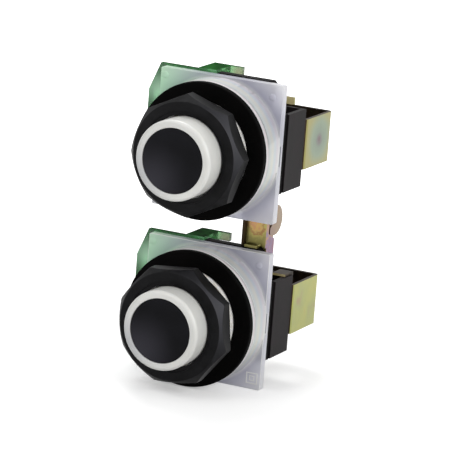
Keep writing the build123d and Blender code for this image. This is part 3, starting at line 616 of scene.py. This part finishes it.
# Painted shade in a dark brown tone of the film, on the inner, upper and hooked faces of the
# brackets and on the link's left rim.
PAINTED_SHADE_CHROMATE = ChromateSheet(
    "chromate_sheet_painted_shade", "yellow_zinc_sheet", "3c3228", roughness=0.5,
    stops=((0.3, "1f1914"), (0.5, "31281f"), (0.7, "423627")),
)
# Cut edges and small lugs are matt and pale.
MATT_CHROMATE = ChromateSheet(
    "matt_chromate_sheet", "yellow_zinc_sheet", "b5ad80", roughness=0.7,
    stops=((0.3, "c4b88c"), (0.7, "d0c69a")),
)
# The rocker came from another bath: tan, with a faint rose cast.
TAN_CHROMATE = ChromateSheet(
    "tan_chromate_sheet", "tan_zinc_sheet", "ad9c96",
    stops=((0.3, "7c685e"), (0.5, "877561"), (0.7, "84786a")),
)
# Clear zinc on small turned parts: silvery, with bluish dull marks.
BRIGHT_ZINC = BareMetal("bright_zinc_screws", "zinc_steel", "cfcfcb", dull="a3a3a1")
# Drawn spring steel: grey, with dark streaks of drawing.
SPRING_WIRE = BareMetal("drawn_spring_wire", "spring_steel", "b9b9b6", dull="8c8c8a")
# Chromed die casting, painted nearly white and hardly metallic: a painted reflection of the white
# surroundings, which makes its threads read nearly white in the nut's shade.
CHROMED_BARREL = BareMetal(
    "chromed_die_casting", "bright_barrel", "ffffff", dull="f3eee2", metallic=0.2,
    roughness=0.3, mark_mm=1.2,
)
# Stamped brass of the contacts: warm, browner where the tool rubbed it.
CONTACT_BRASS = BareMetal("stamped_brass", "contact_brass", "cfae6a", dull="a88a4c")


class Shading(Enum):
    """How a finished piece's faces are smoothed."""

    ROUNDED = "rounded"
    TURNED = "turned"


def turned_mesh(
    profile: tuple[Pair, ...], axis_z: float, steps: int = 128, closed: bool = True
) -> bmesh.types.BMesh:
    """Spins a profile round an operator's axis.

    Args:
        profile: Pairs of the profile in millimetres: depth and radius.
        axis_z: Height of the axis in millimetres.
        steps: Faces round the axis.
        closed: Whether the last point is joined to the first.

    Returns:
        The turned mesh, in metres.
    """
    turned = bmesh.new()
    corners = [turned.verts.new((r * MM, y * MM, axis_z * MM)) for y, r in profile]
    pairs = list(zip(corners, corners[1:]))
    if closed:
        pairs.append((corners[-1], corners[0]))
    edges = [turned.edges.new(pair) for pair in pairs]
    bmesh.ops.spin(
        turned, geom=corners + edges, cent=(0.0, 0.0, axis_z * MM), axis=(0.0, 1.0, 0.0),
        angle=math.tau, steps=steps, use_merge=True,
    )
    bmesh.ops.remove_doubles(turned, verts=turned.verts, dist=WELD_MM * MM / 2)
    bmesh.ops.recalc_face_normals(turned, faces=turned.faces)
    return turned


def rounded_corner(corner: Pair, start: Pair, end: Pair, steps: int) -> list[Pair]:
    """Pairs of a quarter round that replaces a corner of a turned profile.

    Args:
        corner: The sharp corner.
        start: Where the round begins.
        end: Where the round ends.
        steps: Number of runs in the round.

    Returns:
        The points from start to end.
    """
    centre = Vector(start) + Vector(end) - Vector(corner)
    to_start, to_end = Vector(start) - centre, Vector(end) - centre
    points = []
    for i in range(steps + 1):
        turn = math.pi / 2 * i / steps
        point = centre + to_start * math.cos(turn) + to_end * math.sin(turn)
        points.append((point.x, point.y))
    return points


def sharp_edges(shape: bmesh.types.BMesh, angle: float) -> list[bmesh.types.BMEdge]:
    """Finds the outer edges of a shape.

    Args:
        shape: The shape.
        angle: Least angle in degrees between the two faces of such an edge.

    Returns:
        The edges.
    """
    return [
        e
        for e in shape.edges
        if e.is_manifold and e.is_convex and math.degrees(e.calc_face_angle(0.0)) > angle
    ]


def round_edges(
    shape: bmesh.types.BMesh,
    edges: list[bmesh.types.BMEdge],
    width_mm: float,
    segments: int,
    slot: int = -1,
) -> None:
    """Rounds edges of a shape.

    Args:
        shape: The shape, which is changed.
        edges: The edges.
        width_mm: Width of the round, in millimetres.
        segments: Faces across the round.
        slot: Material number of the round, or -1 for that of its neighbours.
    """
    bmesh.ops.bevel(
        shape, geom=edges, offset=width_mm * MM, offset_type="OFFSET", segments=segments,
        profile=0.5, affect="EDGES", clamp_overlap=True, material=slot,
    )


FRAME: dict = {}


def rounded_copy(
    node: str,
    edge_mm: float,
    segments: int = 3,
    edge_slot: int = -1,
    split_z_mm: float | None = None,
) -> bmesh.types.BMesh:
    """Copies a CAD node's mesh and rounds its outer edges as a mould or a press leaves them.

    Args:
        node: CAD node to copy.
        edge_mm: Width of the round, in millimetres.
        segments: Faces across the round.
        edge_slot: Material number of the rounded edges, or -1 for that of their neighbours.
        split_z_mm: Height at which upright faces are split, in millimetres.

    Returns:
        The rounded mesh, in metres.
    """
    copy = bmesh.new()
    copy.from_mesh(FRAME["nodes"][node].data)
    bmesh.ops.remove_doubles(copy, verts=copy.verts, dist=WELD_MM * MM)
    bmesh.ops.dissolve_limit(
        copy, angle_limit=math.radians(FACES_ALIKE_DEG), verts=copy.verts, edges=copy.edges
    )
    round_edges(copy, sharp_edges(copy, ROUNDED_EDGE_DEG), edge_mm, segments, edge_slot)
    if split_z_mm is not None:
        bmesh.ops.bisect_plane(
            copy, geom=copy.verts[:] + copy.edges[:] + copy.faces[:],
            plane_co=(0.0, 0.0, split_z_mm * MM), plane_no=(0.0, 0.0, 1.0),
        )
    return copy


@dataclass
class SubAssembly:
    """What all sub-assemblies share: an operator's name, or none, and the ways to add pieces."""

    unit: str

    @property
    def axis(self) -> float:
        """Height of the operator's axis in millimetres."""
        return UNITS[self.unit]

    def full(self, name: str) -> str:
        """Gives a piece's or node's name with the operator's, where there is one."""
        return f"{self.unit}_{name}" if self.unit else name

    def put(
        self,
        mesh_data: bmesh.types.BMesh,
        name: str,
        finish: Finish | dict[str, Finish],
        node: str = "",
        shading: Shading = Shading.ROUNDED,
        body: str = "root",
        front_body: str = "",
    ) -> bpy.types.Object:
        """Turns a finished bmesh into a piece that rides on a body.

        Args:
            mesh_data: The piece's mesh, in metres, at its place. It is freed.
            name: Name of the new piece, without the operator's name.
            finish: Its finish, or one for each operator.
            node: CAD node that it stands for, without the operator's name.
            shading: ROUNDED keeps flat faces flat beside their rounded edges.
            body: CAD body that it rides on.
            front_body: Where it is given, the piece's transform is baked and it rides on no body;
                the body that it names is not used.

        Returns:
            The new object.
        """
        own = finish[self.unit] if isinstance(finish, dict) else finish
        mesh = bpy.data.meshes.new(self.full(name))
        mesh_data.to_mesh(mesh)
        mesh_data.free()
        mesh.shade_smooth()
        mesh.set_sharp_from_angle(angle=math.radians(SHARP_EDGE_DEG))
        piece = bpy.data.objects.new(self.full(name), mesh)
        bpy.context.scene.collection.objects.link(piece)
        mesh.materials.append(own.material())
        if shading is Shading.ROUNDED:
            weights = piece.modifiers.new("flat_faces", "WEIGHTED_NORMAL")
            weights.keep_sharp = True
        if front_body:
            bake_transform(piece)
        else:
            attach(piece, body)
        if node:
            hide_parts(self.full(node))
        log.info("piece %s rides on %s", piece.name, body)
        return piece

    def dress(self, node: str, finish: Finish) -> None:
        """Gives a CAD node its finish and keeps its shape.

        Args:
            node: The CAD node, without the operator's name.
            finish: Its finish.
        """
        materials = FRAME["nodes"][self.full(node)].data.materials
        materials.clear()
        materials.append(finish.material())
        log.info("node %s has finish %s", self.full(node), finish.name)


@dataclass
class ButtonHead(SubAssembly):
    """The moving button of one operator: off-white head with its black disc."""

    insert_r: float = 10.85
    insert_front: float = -20.4
    insert_rear: float = -18.1
    head_r: float = 13.5
    head_front: float = -20.3
    head_rear: float = -6.5
    web_rear: float = -15.3
    skirt_r: float = 11.35
    rim_round: float = 1.2
    lip_round: float = 0.3
    fit_gap: float = 0.05
    rear_chamfer: float = 0.3
    disc_round: float = 0.5
    disc_seat: float = 0.02
    dish: tuple[Pair, ...] = ((0.06, 0.0), (0.05, 4.0), (0.02, 8.0))

    def build(self) -> None:
        """Makes the head and the disc."""
        self.add_head()
        self.add_disc()

    def add_head(self) -> None:
        """Turns the off-white head."""
        recess_r = self.insert_r + self.fit_gap
        rim = rounded_corner(
            (self.head_front, self.head_r),
            (self.head_front, self.head_r - self.rim_round),
            (self.head_front + self.rim_round, self.head_r),
            10,
        )
        inner = rounded_corner(
            (self.head_front, recess_r),
            (self.head_front + self.lip_round, recess_r),
            (self.head_front, recess_r + self.lip_round),
            3,
        )
        profile = (
            (self.insert_rear, 0.0),
            (self.insert_rear, recess_r),
            *inner,
            *rim,
            (self.head_rear - self.rear_chamfer, self.head_r),
            (self.head_rear, self.head_r - self.rear_chamfer),
            (self.head_rear, self.skirt_r),
            (self.web_rear, self.skirt_r),
            (self.web_rear, 0.0),
        )
        head = turned_mesh(profile, self.axis, closed=False)
        self.put(head, "head_moulding", OFF_WHITE_UREA, "button_head", body=self.full("button"))

    def add_disc(self) -> None:
        """Turns the black disc, with its slightly hollow face."""
        edge = rounded_corner(
            (self.insert_front, self.insert_r),
            (self.insert_front, self.insert_r - self.disc_round),
            (self.insert_front + self.disc_round, self.insert_r),
            5,
        )
        rear = self.insert_rear - self.disc_seat
        profile = (
            *((self.insert_front + depth, r) for depth, r in self.dish),
            *edge,
            (rear, self.insert_r),
            (rear, 0.0),
        )
        disc = turned_mesh(profile, self.axis, closed=False)
        self.put(
            disc, "colour_disc", GRAINED_BLACK_ABS, "button_insert", body=self.full("button")
        )


@dataclass
class PanelNut(SubAssembly):
    """Octagonal ring nut of one operator."""

    turn: float
    front: float
    depth: float = 6.8
    across_flats: float = 38.2
    face_r: float = 18.3
    cone_angle: float = 52.0
    bore_r: float = 13.9
    thread_r: float = 15.15
    lip: float = 1.8
    recess: float = 0.5
    recess_r: float = 15.4
    sides: int = 8
    corner_spare: float = 0.5
    edge_round: float = 0.3
    edge_angle: float = 15.0
    rounded_from_r: float = 17.0
    cone_normal_y: tuple[float, float] = (-0.8, -0.45)

    def build(self) -> None:
        """Turns the nut's section, cuts its eight flats and rounds its edges."""
        rear = self.front + self.depth
        corner_r = self.across_flats / 2 / math.cos(math.pi / self.sides) + self.corner_spare
        cone_depth = (corner_r - self.face_r) * math.tan(math.radians(self.cone_angle))
        profile = (
            (self.front + self.recess, self.bore_r),
            (self.front + self.recess, self.recess_r),
            (self.front, self.recess_r),
            (self.front, self.face_r),
            (self.front + cone_depth, corner_r),
            (rear, corner_r),
            (rear, self.thread_r),
            (self.front + self.lip, self.thread_r),
            (self.front + self.lip, self.bore_r),
        )
        nut = turned_mesh(profile, self.axis, steps=192)
        for side in range(self.sides):
            angle = math.radians(self.turn) + (side + 0.5) * math.tau / self.sides
            normal = Vector((math.cos(angle), 0.0, math.sin(angle)))
            foot = Vector((0.0, 0.0, self.axis * MM)) + normal * self.across_flats / 2 * MM
            cut = bmesh.ops.bisect_plane(
                nut, geom=nut.verts[:] + nut.edges[:] + nut.faces[:], plane_co=foot,
                plane_no=normal, clear_outer=True,
            )
            rim = [e for e in cut["geom_cut"] if isinstance(e, bmesh.types.BMEdge)]
            bmesh.ops.contextual_create(nut, geom=rim)
        bmesh.ops.recalc_face_normals(nut, faces=nut.faces)
        middle = Vector((0.0, self.axis * MM))
        outer = [
            e for e in sharp_edges(nut, self.edge_angle)
            if min((v.co.xz - middle).length for v in e.verts) > self.rounded_from_r * MM
        ]
        round_edges(nut, outer, self.edge_round, 2)
        nut.normal_update()
        # The cone's faces get the second finish, which has the painted highlight towards the upper
        # right.
        low, high = self.cone_normal_y
        for face in nut.faces:
            if low < face.normal.y < high:
                face.material_index = 1
        piece = self.put(nut, "octagon_nut", GLASS_FILLED_NYLON, "ring_nut")
        piece.data.materials.append(CONE_NYLON_PAINTED_HIGHLIGHT[self.unit].material())


@dataclass
class BarrelAndGasket(SubAssembly):
    """Threaded barrel and rubber gasket of one operator."""

    gasket_r: float = 23.2
    gasket_hole_r: float = 17.2
    gasket_rear: float = 2.5
    gasket_edge: float = 0.5
    gasket_chamfer: float = 0.2
    barrel_r: float = 15.1
    barrel_front: float = -10.4
    mouth_depth: float = 7.4
    mouth_r: float = 13.8
    bore_r: float = 10.0
    web_front: float = 6.5
    web_rear: float = 9.5
    guide_r: float = 6.1
    flange_front: float = 14.2
    flange_rear: float = 16.2
    flange_r: float = 16.9
    thread_pitch: float = 1.5
    thread_depth: float = 0.55
    root_half: float = 0.08
    root_lift: float = 0.05
    thread_rear: float = -0.8
    collar_front: float = 0.05
    collar_rear: float = 2.45
    collar_r: float = 16.95
    groove_r: float = 15.95
    groove_rear: float = 1.9

    def build(self) -> None:
        """Makes the gasket and the barrel."""
        self.add_gasket()
        self.add_barrel()

    def add_gasket(self) -> None:
        """Turns the gasket."""
        outer = rounded_corner(
            (0.0, self.gasket_r),
            (0.0, self.gasket_r - self.gasket_edge),
            (self.gasket_edge, self.gasket_r),
            4,
        )
        profile = (
            (self.gasket_rear, self.gasket_hole_r),
            (self.gasket_chamfer, self.gasket_hole_r),
            (0.0, self.gasket_hole_r + self.gasket_chamfer),
            *outer,
            (self.gasket_rear - self.gasket_chamfer, self.gasket_r),
            (self.gasket_rear, self.gasket_r - self.gasket_chamfer),
        )
        gasket = turned_mesh(profile, self.axis, steps=160)
        self.put(gasket, "gasket_ring", NITRILE_RUBBER, "gasket")

    def add_barrel(self) -> None:
        """Turns the barrel, with the shoulder that fills the gasket's hole."""
        crests: list[Pair] = [
            (self.barrel_front, self.barrel_r - self.thread_depth),
            (self.barrel_front + self.thread_depth, self.barrel_r),
        ]
        root_r = self.barrel_r - self.thread_depth + self.root_lift
        root_y = self.barrel_front + self.thread_pitch
        while root_y < self.thread_rear:
            crests += [
                (root_y - self.thread_depth, self.barrel_r),
                (root_y - self.root_half, root_r),
                (root_y + self.root_half, root_r),
                (root_y + self.thread_depth, self.barrel_r),
            ]
            root_y += self.thread_pitch
        mouth_y = self.barrel_front + self.mouth_depth
        profile = (
            *crests,
            (self.groove_rear, self.barrel_r),
            (self.groove_rear, self.groove_r),
            (self.collar_front, self.groove_r),
            (self.collar_front, self.collar_r),
            (self.collar_rear, self.collar_r),
            (self.collar_rear, self.barrel_r),
            (self.flange_front, self.barrel_r),
            (self.flange_front, self.flange_r),
            (self.flange_rear, self.flange_r),
            (self.flange_rear, self.bore_r),
            (self.web_rear, self.bore_r),
            (self.web_rear, self.guide_r),
            (self.web_front, self.guide_r),
            (self.web_front, self.bore_r),
            (mouth_y, self.bore_r),
            (mouth_y, self.mouth_r),
            (self.barrel_front, self.mouth_r),
        )
        barrel = turned_mesh(profile, self.axis)
        self.put(barrel, "threaded_barrel", CHROMED_BARREL, "barrel", Shading.TURNED)


@dataclass
class MilkyHousing(SubAssembly):
    """Milky housing of one operator, with its moulded nibs."""

    edge_round: float = 0.3
    face_y: float = 13.0
    nib_r: float = 1.3
    nib_rise: float = 0.3
    sunk: float = 0.05
    nib_places: tuple[Pair, ...] = ((-21.0, 20.9), (18.8, 19.2))
    mark_place: Pair = (19.4, -19.6)
    mark_half: Pair = (2.1, 1.95)
    mark_line: float = 0.35
    mark_rise: float = 0.15
    mark_sunk: float = 0.01
    mark_squares: tuple[tuple[float, float], ...] = ((1.0, 1.0), (0.45, 0.78))
    """Share of the full size and of the line's width, for the outer and the inner square."""

    def build(self) -> None:
        """Makes the housing from its CAD form with rounded edges, and its nibs."""
        shell = rounded_copy(self.full("housing"), self.edge_round, edge_slot=1)
        moulding = self.put(shell, "housing_moulding", MILKY_POLYPROPYLENE, "housing")
        # Slot 1, on the rounded edges, is the finish with the painted edge highlight.
        moulding.data.materials.append(MILKY_EDGE_HIGHLIGHT.material())
        nibs = bmesh.new()
        for x, z in self.nib_places:
            place = Matrix.Translation(
                (x * MM, (self.face_y + self.sunk) * MM, (self.axis + z) * MM)
            ) @ Matrix.Diagonal((self.nib_r * MM, self.nib_rise * MM, self.nib_r * MM, 1.0))
            bmesh.ops.create_icosphere(nibs, subdivisions=3, radius=1.0, matrix=place)
        self.put(nibs, "housing_nibs", MILKY_POLYPROPYLENE)
        if self.unit == "lower":
            self.add_mark()

    def add_mark(self) -> None:
        """Makes the plain raised square with a smaller one inside, low on the flange."""
        mark = bmesh.new()
        for share, line_share in self.mark_squares:
            half_x, half_z = (side * share for side in self.mark_half)
            line = self.mark_line * line_share
            for x, z, wide, high in (
                (0.0, half_z - line / 2, 2 * half_x, line),
                (0.0, line / 2 - half_z, 2 * half_x, line),
                (half_x - line / 2, 0.0, line, 2 * (half_z - line)),
                (line / 2 - half_x, 0.0, line, 2 * (half_z - line)),
            ):
                place = Matrix.Translation((
                    (self.mark_place[0] + x) * MM,
                    (self.face_y - self.mark_rise / 2 + self.mark_sunk) * MM,
                    (self.axis + self.mark_place[1] + z) * MM,
                )) @ Matrix.Diagonal((wide * MM, self.mark_rise * MM, high * MM, 1.0))
                bmesh.ops.create_cube(mark, size=1.0, matrix=place)
        # The mark gets the finish with the painted highlight.
        self.put(mark, "housing_mark", MILKY_EDGE_HIGHLIGHT)


@dataclass
class PlainPieces(SubAssembly):
    """CAD forms that keep their shape and get their moulded or pressed edges."""

    moulded: dict[str, tuple[str, Finish, float]] = field(
        default_factory=lambda: {
            "base_plate": ("base_moulding", BLACK_PHENOLIC, 0.25),
            "contact_base": ("terminal_moulding", BLACK_PHENOLIC, 0.25),
            "interlock_block": ("interlock_moulding", CHARCOAL_PHENOLIC, 0.3),
            "terminal_screws": ("terminal_screw_heads", BRIGHT_ZINC, 0.15),
            "terminal_clamps": ("terminal_clamp_plates", BRIGHT_ZINC, 0.15),
            "block_screws": ("long_screws", BRIGHT_ZINC, 0.15),
            "bracket_screws": ("bracket_screw_heads", BRIGHT_ZINC, 0.15),
        }
    )
    kept: dict[str, Finish] = field(
        default_factory=lambda: {
            "base_screws": BRIGHT_ZINC,
            "interlock_screws": BRIGHT_ZINC,
            "fixed_contacts": CONTACT_BRASS,
            "shaft_seal": SEAL_RUBBER,
            "plunger": NATURAL_NYLON,
            "cross_pin": BRIGHT_ZINC,
            "contact_slider": NATURAL_NYLON,
            "contact_bridge": CONTACT_BRASS,
            "bridge_spring": SPRING_WIRE,
        }
    )
    cover_edge: float = 0.4
    rib_over: float = 23.9
    rib_slope: float = 0.5
    wall_top_over: float = 9.25

    def build(self) -> None:
        """Makes the rounded copies and gives the nodes that keep their shape their finishes."""
        for node, (name, finish, edge) in self.moulded.items():
            self.put(rounded_copy(self.full(node), edge), name, finish, node)
        self.add_cover()
        self.add_bracket()
        spring = bmesh.new()
        spring.from_mesh(FRAME["nodes"][self.full("return_spring")].data)
        self.put(
            spring, "spring_coil", SPRING_WIRE, "return_spring", Shading.TURNED,
            front_body=self.full("button"),
        )
        for node, finish in self.kept.items():
            self.dress(node, finish)

    def add_cover(self) -> None:
        """Makes the clear cover, with painted shade at its edges and on the upward faces of its
        rib.
        """
        shell = rounded_copy(self.full("contact_cover"), self.cover_edge, edge_slot=1)
        cover = self.put(shell, "cover_moulding", GREEN_POLYCARBONATE, "contact_cover")
        # Slot 1, on the rounded edges, is the painted dark-green edge shade.
        cover.data.materials.append(GREEN_EDGE_PAINTED_SHADE.material())
        cover.data.materials.append(GREEN_RIB_PAINTED_SHADE.material())
        # Upward faces of the rib get the painted shade.
        rib_z = (self.axis + self.rib_over) * MM
        for face in cover.data.polygons:
            if face.normal.z > self.rib_slope and face.center.z > rib_z:
                face.material_index = 2

    def add_bracket(self) -> None:
        """Makes the rear bracket, with painted shade on its inner and upper faces."""
        wall_top = self.axis + self.wall_top_over
        folded = rounded_copy(self.full("rear_bracket"), SHEET_EDGE_MM, 2, split_z_mm=wall_top)
        finishes = {"upper": SPOTTED_CHROMATE, "lower": YELLOW_CHROMATE}
        pressing = self.put(folded, "bracket_pressing", finishes, "rear_bracket")
        paint_shade_inside(pressing, wall_top)


def paint_shade_inside(
    pressing: bpy.types.Object,
    wall_top_mm: float,
    middle_mm: Pair = (12.95, 43.9),
    hook_rear_mm: float = 34.0,
    outside_mm: float = 0.3,
) -> None:
    """Paints shade, in a dark tone of the film, on the inner and upper faces of a folded bracket.

    Args:
        pressing: The bracket's piece.
        wall_top_mm: Height of its walls, above which it has only its lug or hook.
        middle_mm: X and Y of the middle of its channel.
        hook_rear_mm: Depth in front of which all faces but the front edge get painted shade.
        outside_mm: Distance towards the middle from which a face counts as an inner one.
    """
    pressing.data.materials.append(PAINTED_SHADE_CHROMATE.material())
    pressing.data.materials.append(MATT_CHROMATE.material())
    middle = Vector((middle_mm[0] * MM, middle_mm[1] * MM))
    for face in pressing.data.polygons:
        inward = (middle - face.center.xy).dot(face.normal.xy) > outside_mm * MM
        upright = face.center.z > wall_top_mm * MM
        hooked = face.center.y < hook_rear_mm * MM
        if upright and face.normal.y < -FACING:
            face.material_index = 2
        elif hooked or (not upright and (inward or face.normal.z > FACING)):
            face.material_index = 1


@dataclass
class LinkAndRocker(SubAssembly):
    """Link between the operators, with the rocker and its pivot."""

    unit: str = ""
    side_x: float = 17.5
    rim_x: float = 10.8
    web_y: float = 19.4

    def build(self) -> None:
        """Makes the link and the rocker with pressed edges and dresses the small parts."""
        channel = rounded_copy("link_channel", SHEET_EDGE_MM, 2)
        link = self.put(channel, "link_pressing", GOLD_CHROMATE, "link_channel")
        link.data.materials.append(ROSE_CHROMATE.material())
        link.data.materials.append(PAINTED_SHADE_CHROMATE.material())
        for face in link.data.polygons:
            if face.normal.x > FACING and face.center.x > self.side_x * MM:
                face.material_index = 1
            # The left rim's faces in front of the web get painted shade.
            elif face.center.x < self.rim_x * MM and face.center.y < self.web_y * MM:
                face.material_index = 2
        lever = rounded_copy("rocker", SHEET_EDGE_MM, 2)
        self.put(lever, "rocker_pressing", TAN_CHROMATE, "rocker", body="rocker")
        self.dress("pivot_pin", TAN_CHROMATE)
        for node in ("pivot_spacer", "link_screws"):
            self.dress(node, BRIGHT_ZINC)


@dataclass(frozen=True)
class Softbox:
    """Square soft lamp that faces the part, in metres and watts."""

    name: str
    place: Place
    power: float
    size: float = 0.5


@dataclass
class Studio:
    """White sweep, soft lights and the camera."""

    floor_z: float = -52.05
    floor_half: float = 1.5
    white_from_mm: float = 500.0
    glow_near: float = 0.3
    seen_grey: float = 0.8
    lighting_grey: float = 0.7
    world_strength: float = 0.5
    lamps: tuple[Softbox, ...] = (
        Softbox("key", (-0.35, -0.8, 0.75), 3.0),
        Softbox("side", (0.9, -0.4, 0.45), 5.7),
        Softbox("top", (-0.3, 0.35, 0.88), 4.6),
    )
    aim: Place = (0.0, 2.5, 0.0)
    azimuth: float = 0.433647
    elevation: float = 0.228440
    roll: float = 0.077324
    distance: float = 1204.0
    shift_right: float = 9.416
    shift_up: float = 3.131
    focal_px: float = 3630.95
    frame_px: float = 450.0
    sensor_mm: float = 36.0
    clip_m: tuple[float, float] = (0.05, 20.0)

    def build(self) -> None:
        """Makes floor, world, lights and camera."""
        self.add_floor()
        self.set_world()
        self.add_lights()
        self.add_camera()
        bpy.context.scene.view_settings.view_transform = "Standard"

    def add_floor(self) -> None:
        """Makes a pale floor that shows white to the camera and keeps the shadow."""
        sheet = bmesh.new()
        bmesh.ops.create_grid(
            sheet, x_segments=1, y_segments=1, size=self.floor_half,
            matrix=Matrix.Translation((0.0, 0.0, self.floor_z * MM)),
        )
        mesh = bpy.data.meshes.new("floor")
        sheet.to_mesh(mesh)
        sheet.free()
        floor = bpy.data.objects.new("floor", mesh)
        bpy.context.scene.collection.objects.link(floor)
        paint = bpy.data.materials.new("white_paper")
        paint.use_nodes = True
        tree = paint.node_tree
        tree.nodes.clear()
        place = add_node(tree, "ShaderNodeTexCoord").outputs["Object"]
        far = add_spot(tree, place, (0.0, 0.0, 0.0), self.white_from_mm, (self.glow_near, 1.0))
        glow = add_node(
            tree, "ShaderNodeEmission", inputs={"Color": (1.0, 1.0, 1.0, 1.0), "Strength": far}
        )
        paper, plain = (
            add_node(tree, "ShaderNodeBsdfDiffuse", inputs={"Color": (grey, grey, grey, 1.0)})
            for grey in (self.seen_grey, self.lighting_grey)
        )
        bright = add_node(
            tree, "ShaderNodeAddShader", inputs={0: paper.outputs[0], 1: glow.outputs[0]}
        )
        mixed = add_node(
            tree,
            "ShaderNodeMixShader",
            inputs={0: self.seen_rays(tree), 1: plain.outputs[0], 2: bright.outputs[0]},
        )
        add_node(tree, "ShaderNodeOutputMaterial", inputs={"Surface": mixed.outputs[0]})
        mesh.materials.append(paint)

    def seen_rays(self, tree: bpy.types.NodeTree) -> Socket:
        """Adds up the rays that see the pale background.

        Args:
            tree: Node tree of the floor's material or of the world.

        Returns:
            A value that is 1 for camera, glossy and transmission rays.
        """
        rays = add_node(tree, "ShaderNodeLightPath").outputs
        shown = rays["Is Camera Ray"]
        for name in ("Is Glossy Ray", "Is Transmission Ray"):
            inputs = {0: shown, 1: rays[name]}
            shown = add_node(tree, "ShaderNodeMath", {"operation": "MAXIMUM"}, inputs).outputs[0]
        return shown

    def set_world(self) -> None:
        """Makes a plain soft world, white where it is seen."""
        world = bpy.data.worlds.new("studio_world")
        bpy.context.scene.world = world
        world.use_nodes = True
        tree = world.node_tree
        tree.nodes.clear()
        inputs = {"Value": self.seen_rays(tree), "To Min": self.world_strength}
        strength = add_node(tree, "ShaderNodeMapRange", inputs=inputs).outputs["Result"]
        inputs = {"Color": (1.0, 1.0, 1.0, 1.0), "Strength": strength}
        light = add_node(tree, "ShaderNodeBackground", inputs=inputs)
        add_node(tree, "ShaderNodeOutputWorld", inputs={"Surface": light.outputs[0]})

    def add_lights(self) -> None:
        """Hangs the soft lamps."""
        for softbox in self.lamps:
            lamp = bpy.data.lights.new(f"{softbox.name}_softbox", "AREA")
            lamp.shape = "SQUARE"
            lamp.size = softbox.size
            lamp.energy = softbox.power
            holder = bpy.data.objects.new(f"{softbox.name}_softbox", lamp)
            aim = Vector(softbox.place).to_track_quat("Z", "Y").to_matrix().to_4x4()
            holder.matrix_world = Matrix.Translation(softbox.place) @ aim
            bpy.context.scene.collection.objects.link(holder)

    def add_camera(self) -> None:
        """Sets the camera at the photograph's viewpoint."""
        sin_a, cos_a = math.sin(self.azimuth), math.cos(self.azimuth)
        sin_e, cos_e = math.sin(self.elevation), math.cos(self.elevation)
        back = Vector((sin_a * cos_e, -cos_a * cos_e, sin_e))
        level = Vector((cos_a, sin_a, 0.0))
        upright = back.cross(level)
        right = level * math.cos(self.roll) + upright * math.sin(self.roll)
        up = upright * math.cos(self.roll) - level * math.sin(self.roll)
        place = (
            Vector(self.aim) + back * self.distance + right * self.shift_right + up * self.shift_up
        ) * MM
        lens = bpy.data.cameras.new("camera")
        lens.sensor_width = self.sensor_mm
        lens.lens = self.focal_px / self.frame_px * self.sensor_mm
        lens.clip_start, lens.clip_end = self.clip_m
        camera = bpy.data.objects.new("camera", lens)
        turn = Matrix((right, up, back)).transposed().to_4x4()
        camera.matrix_world = Matrix.Translation(place) @ turn
        bpy.context.scene.collection.objects.link(camera)
        bpy.context.scene.camera = camera


def main() -> None:
    """Builds every sub-assembly in order."""
    logging.basicConfig(level=logging.INFO, format="%(name)s: %(message)s")
    FRAME.update(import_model())
    for unit, nut_turn, nut_front in (("upper", 4.0, -12.3), ("lower", -16.0, -13.2)):
        ButtonHead(unit).build()
        PanelNut(unit, nut_turn, nut_front).build()
        BarrelAndGasket(unit).build()
        MilkyHousing(unit).build()
        PlainPieces(unit).build()
    LinkAndRocker().build()
    Studio().build()


if __name__ == "__main__":
    main()
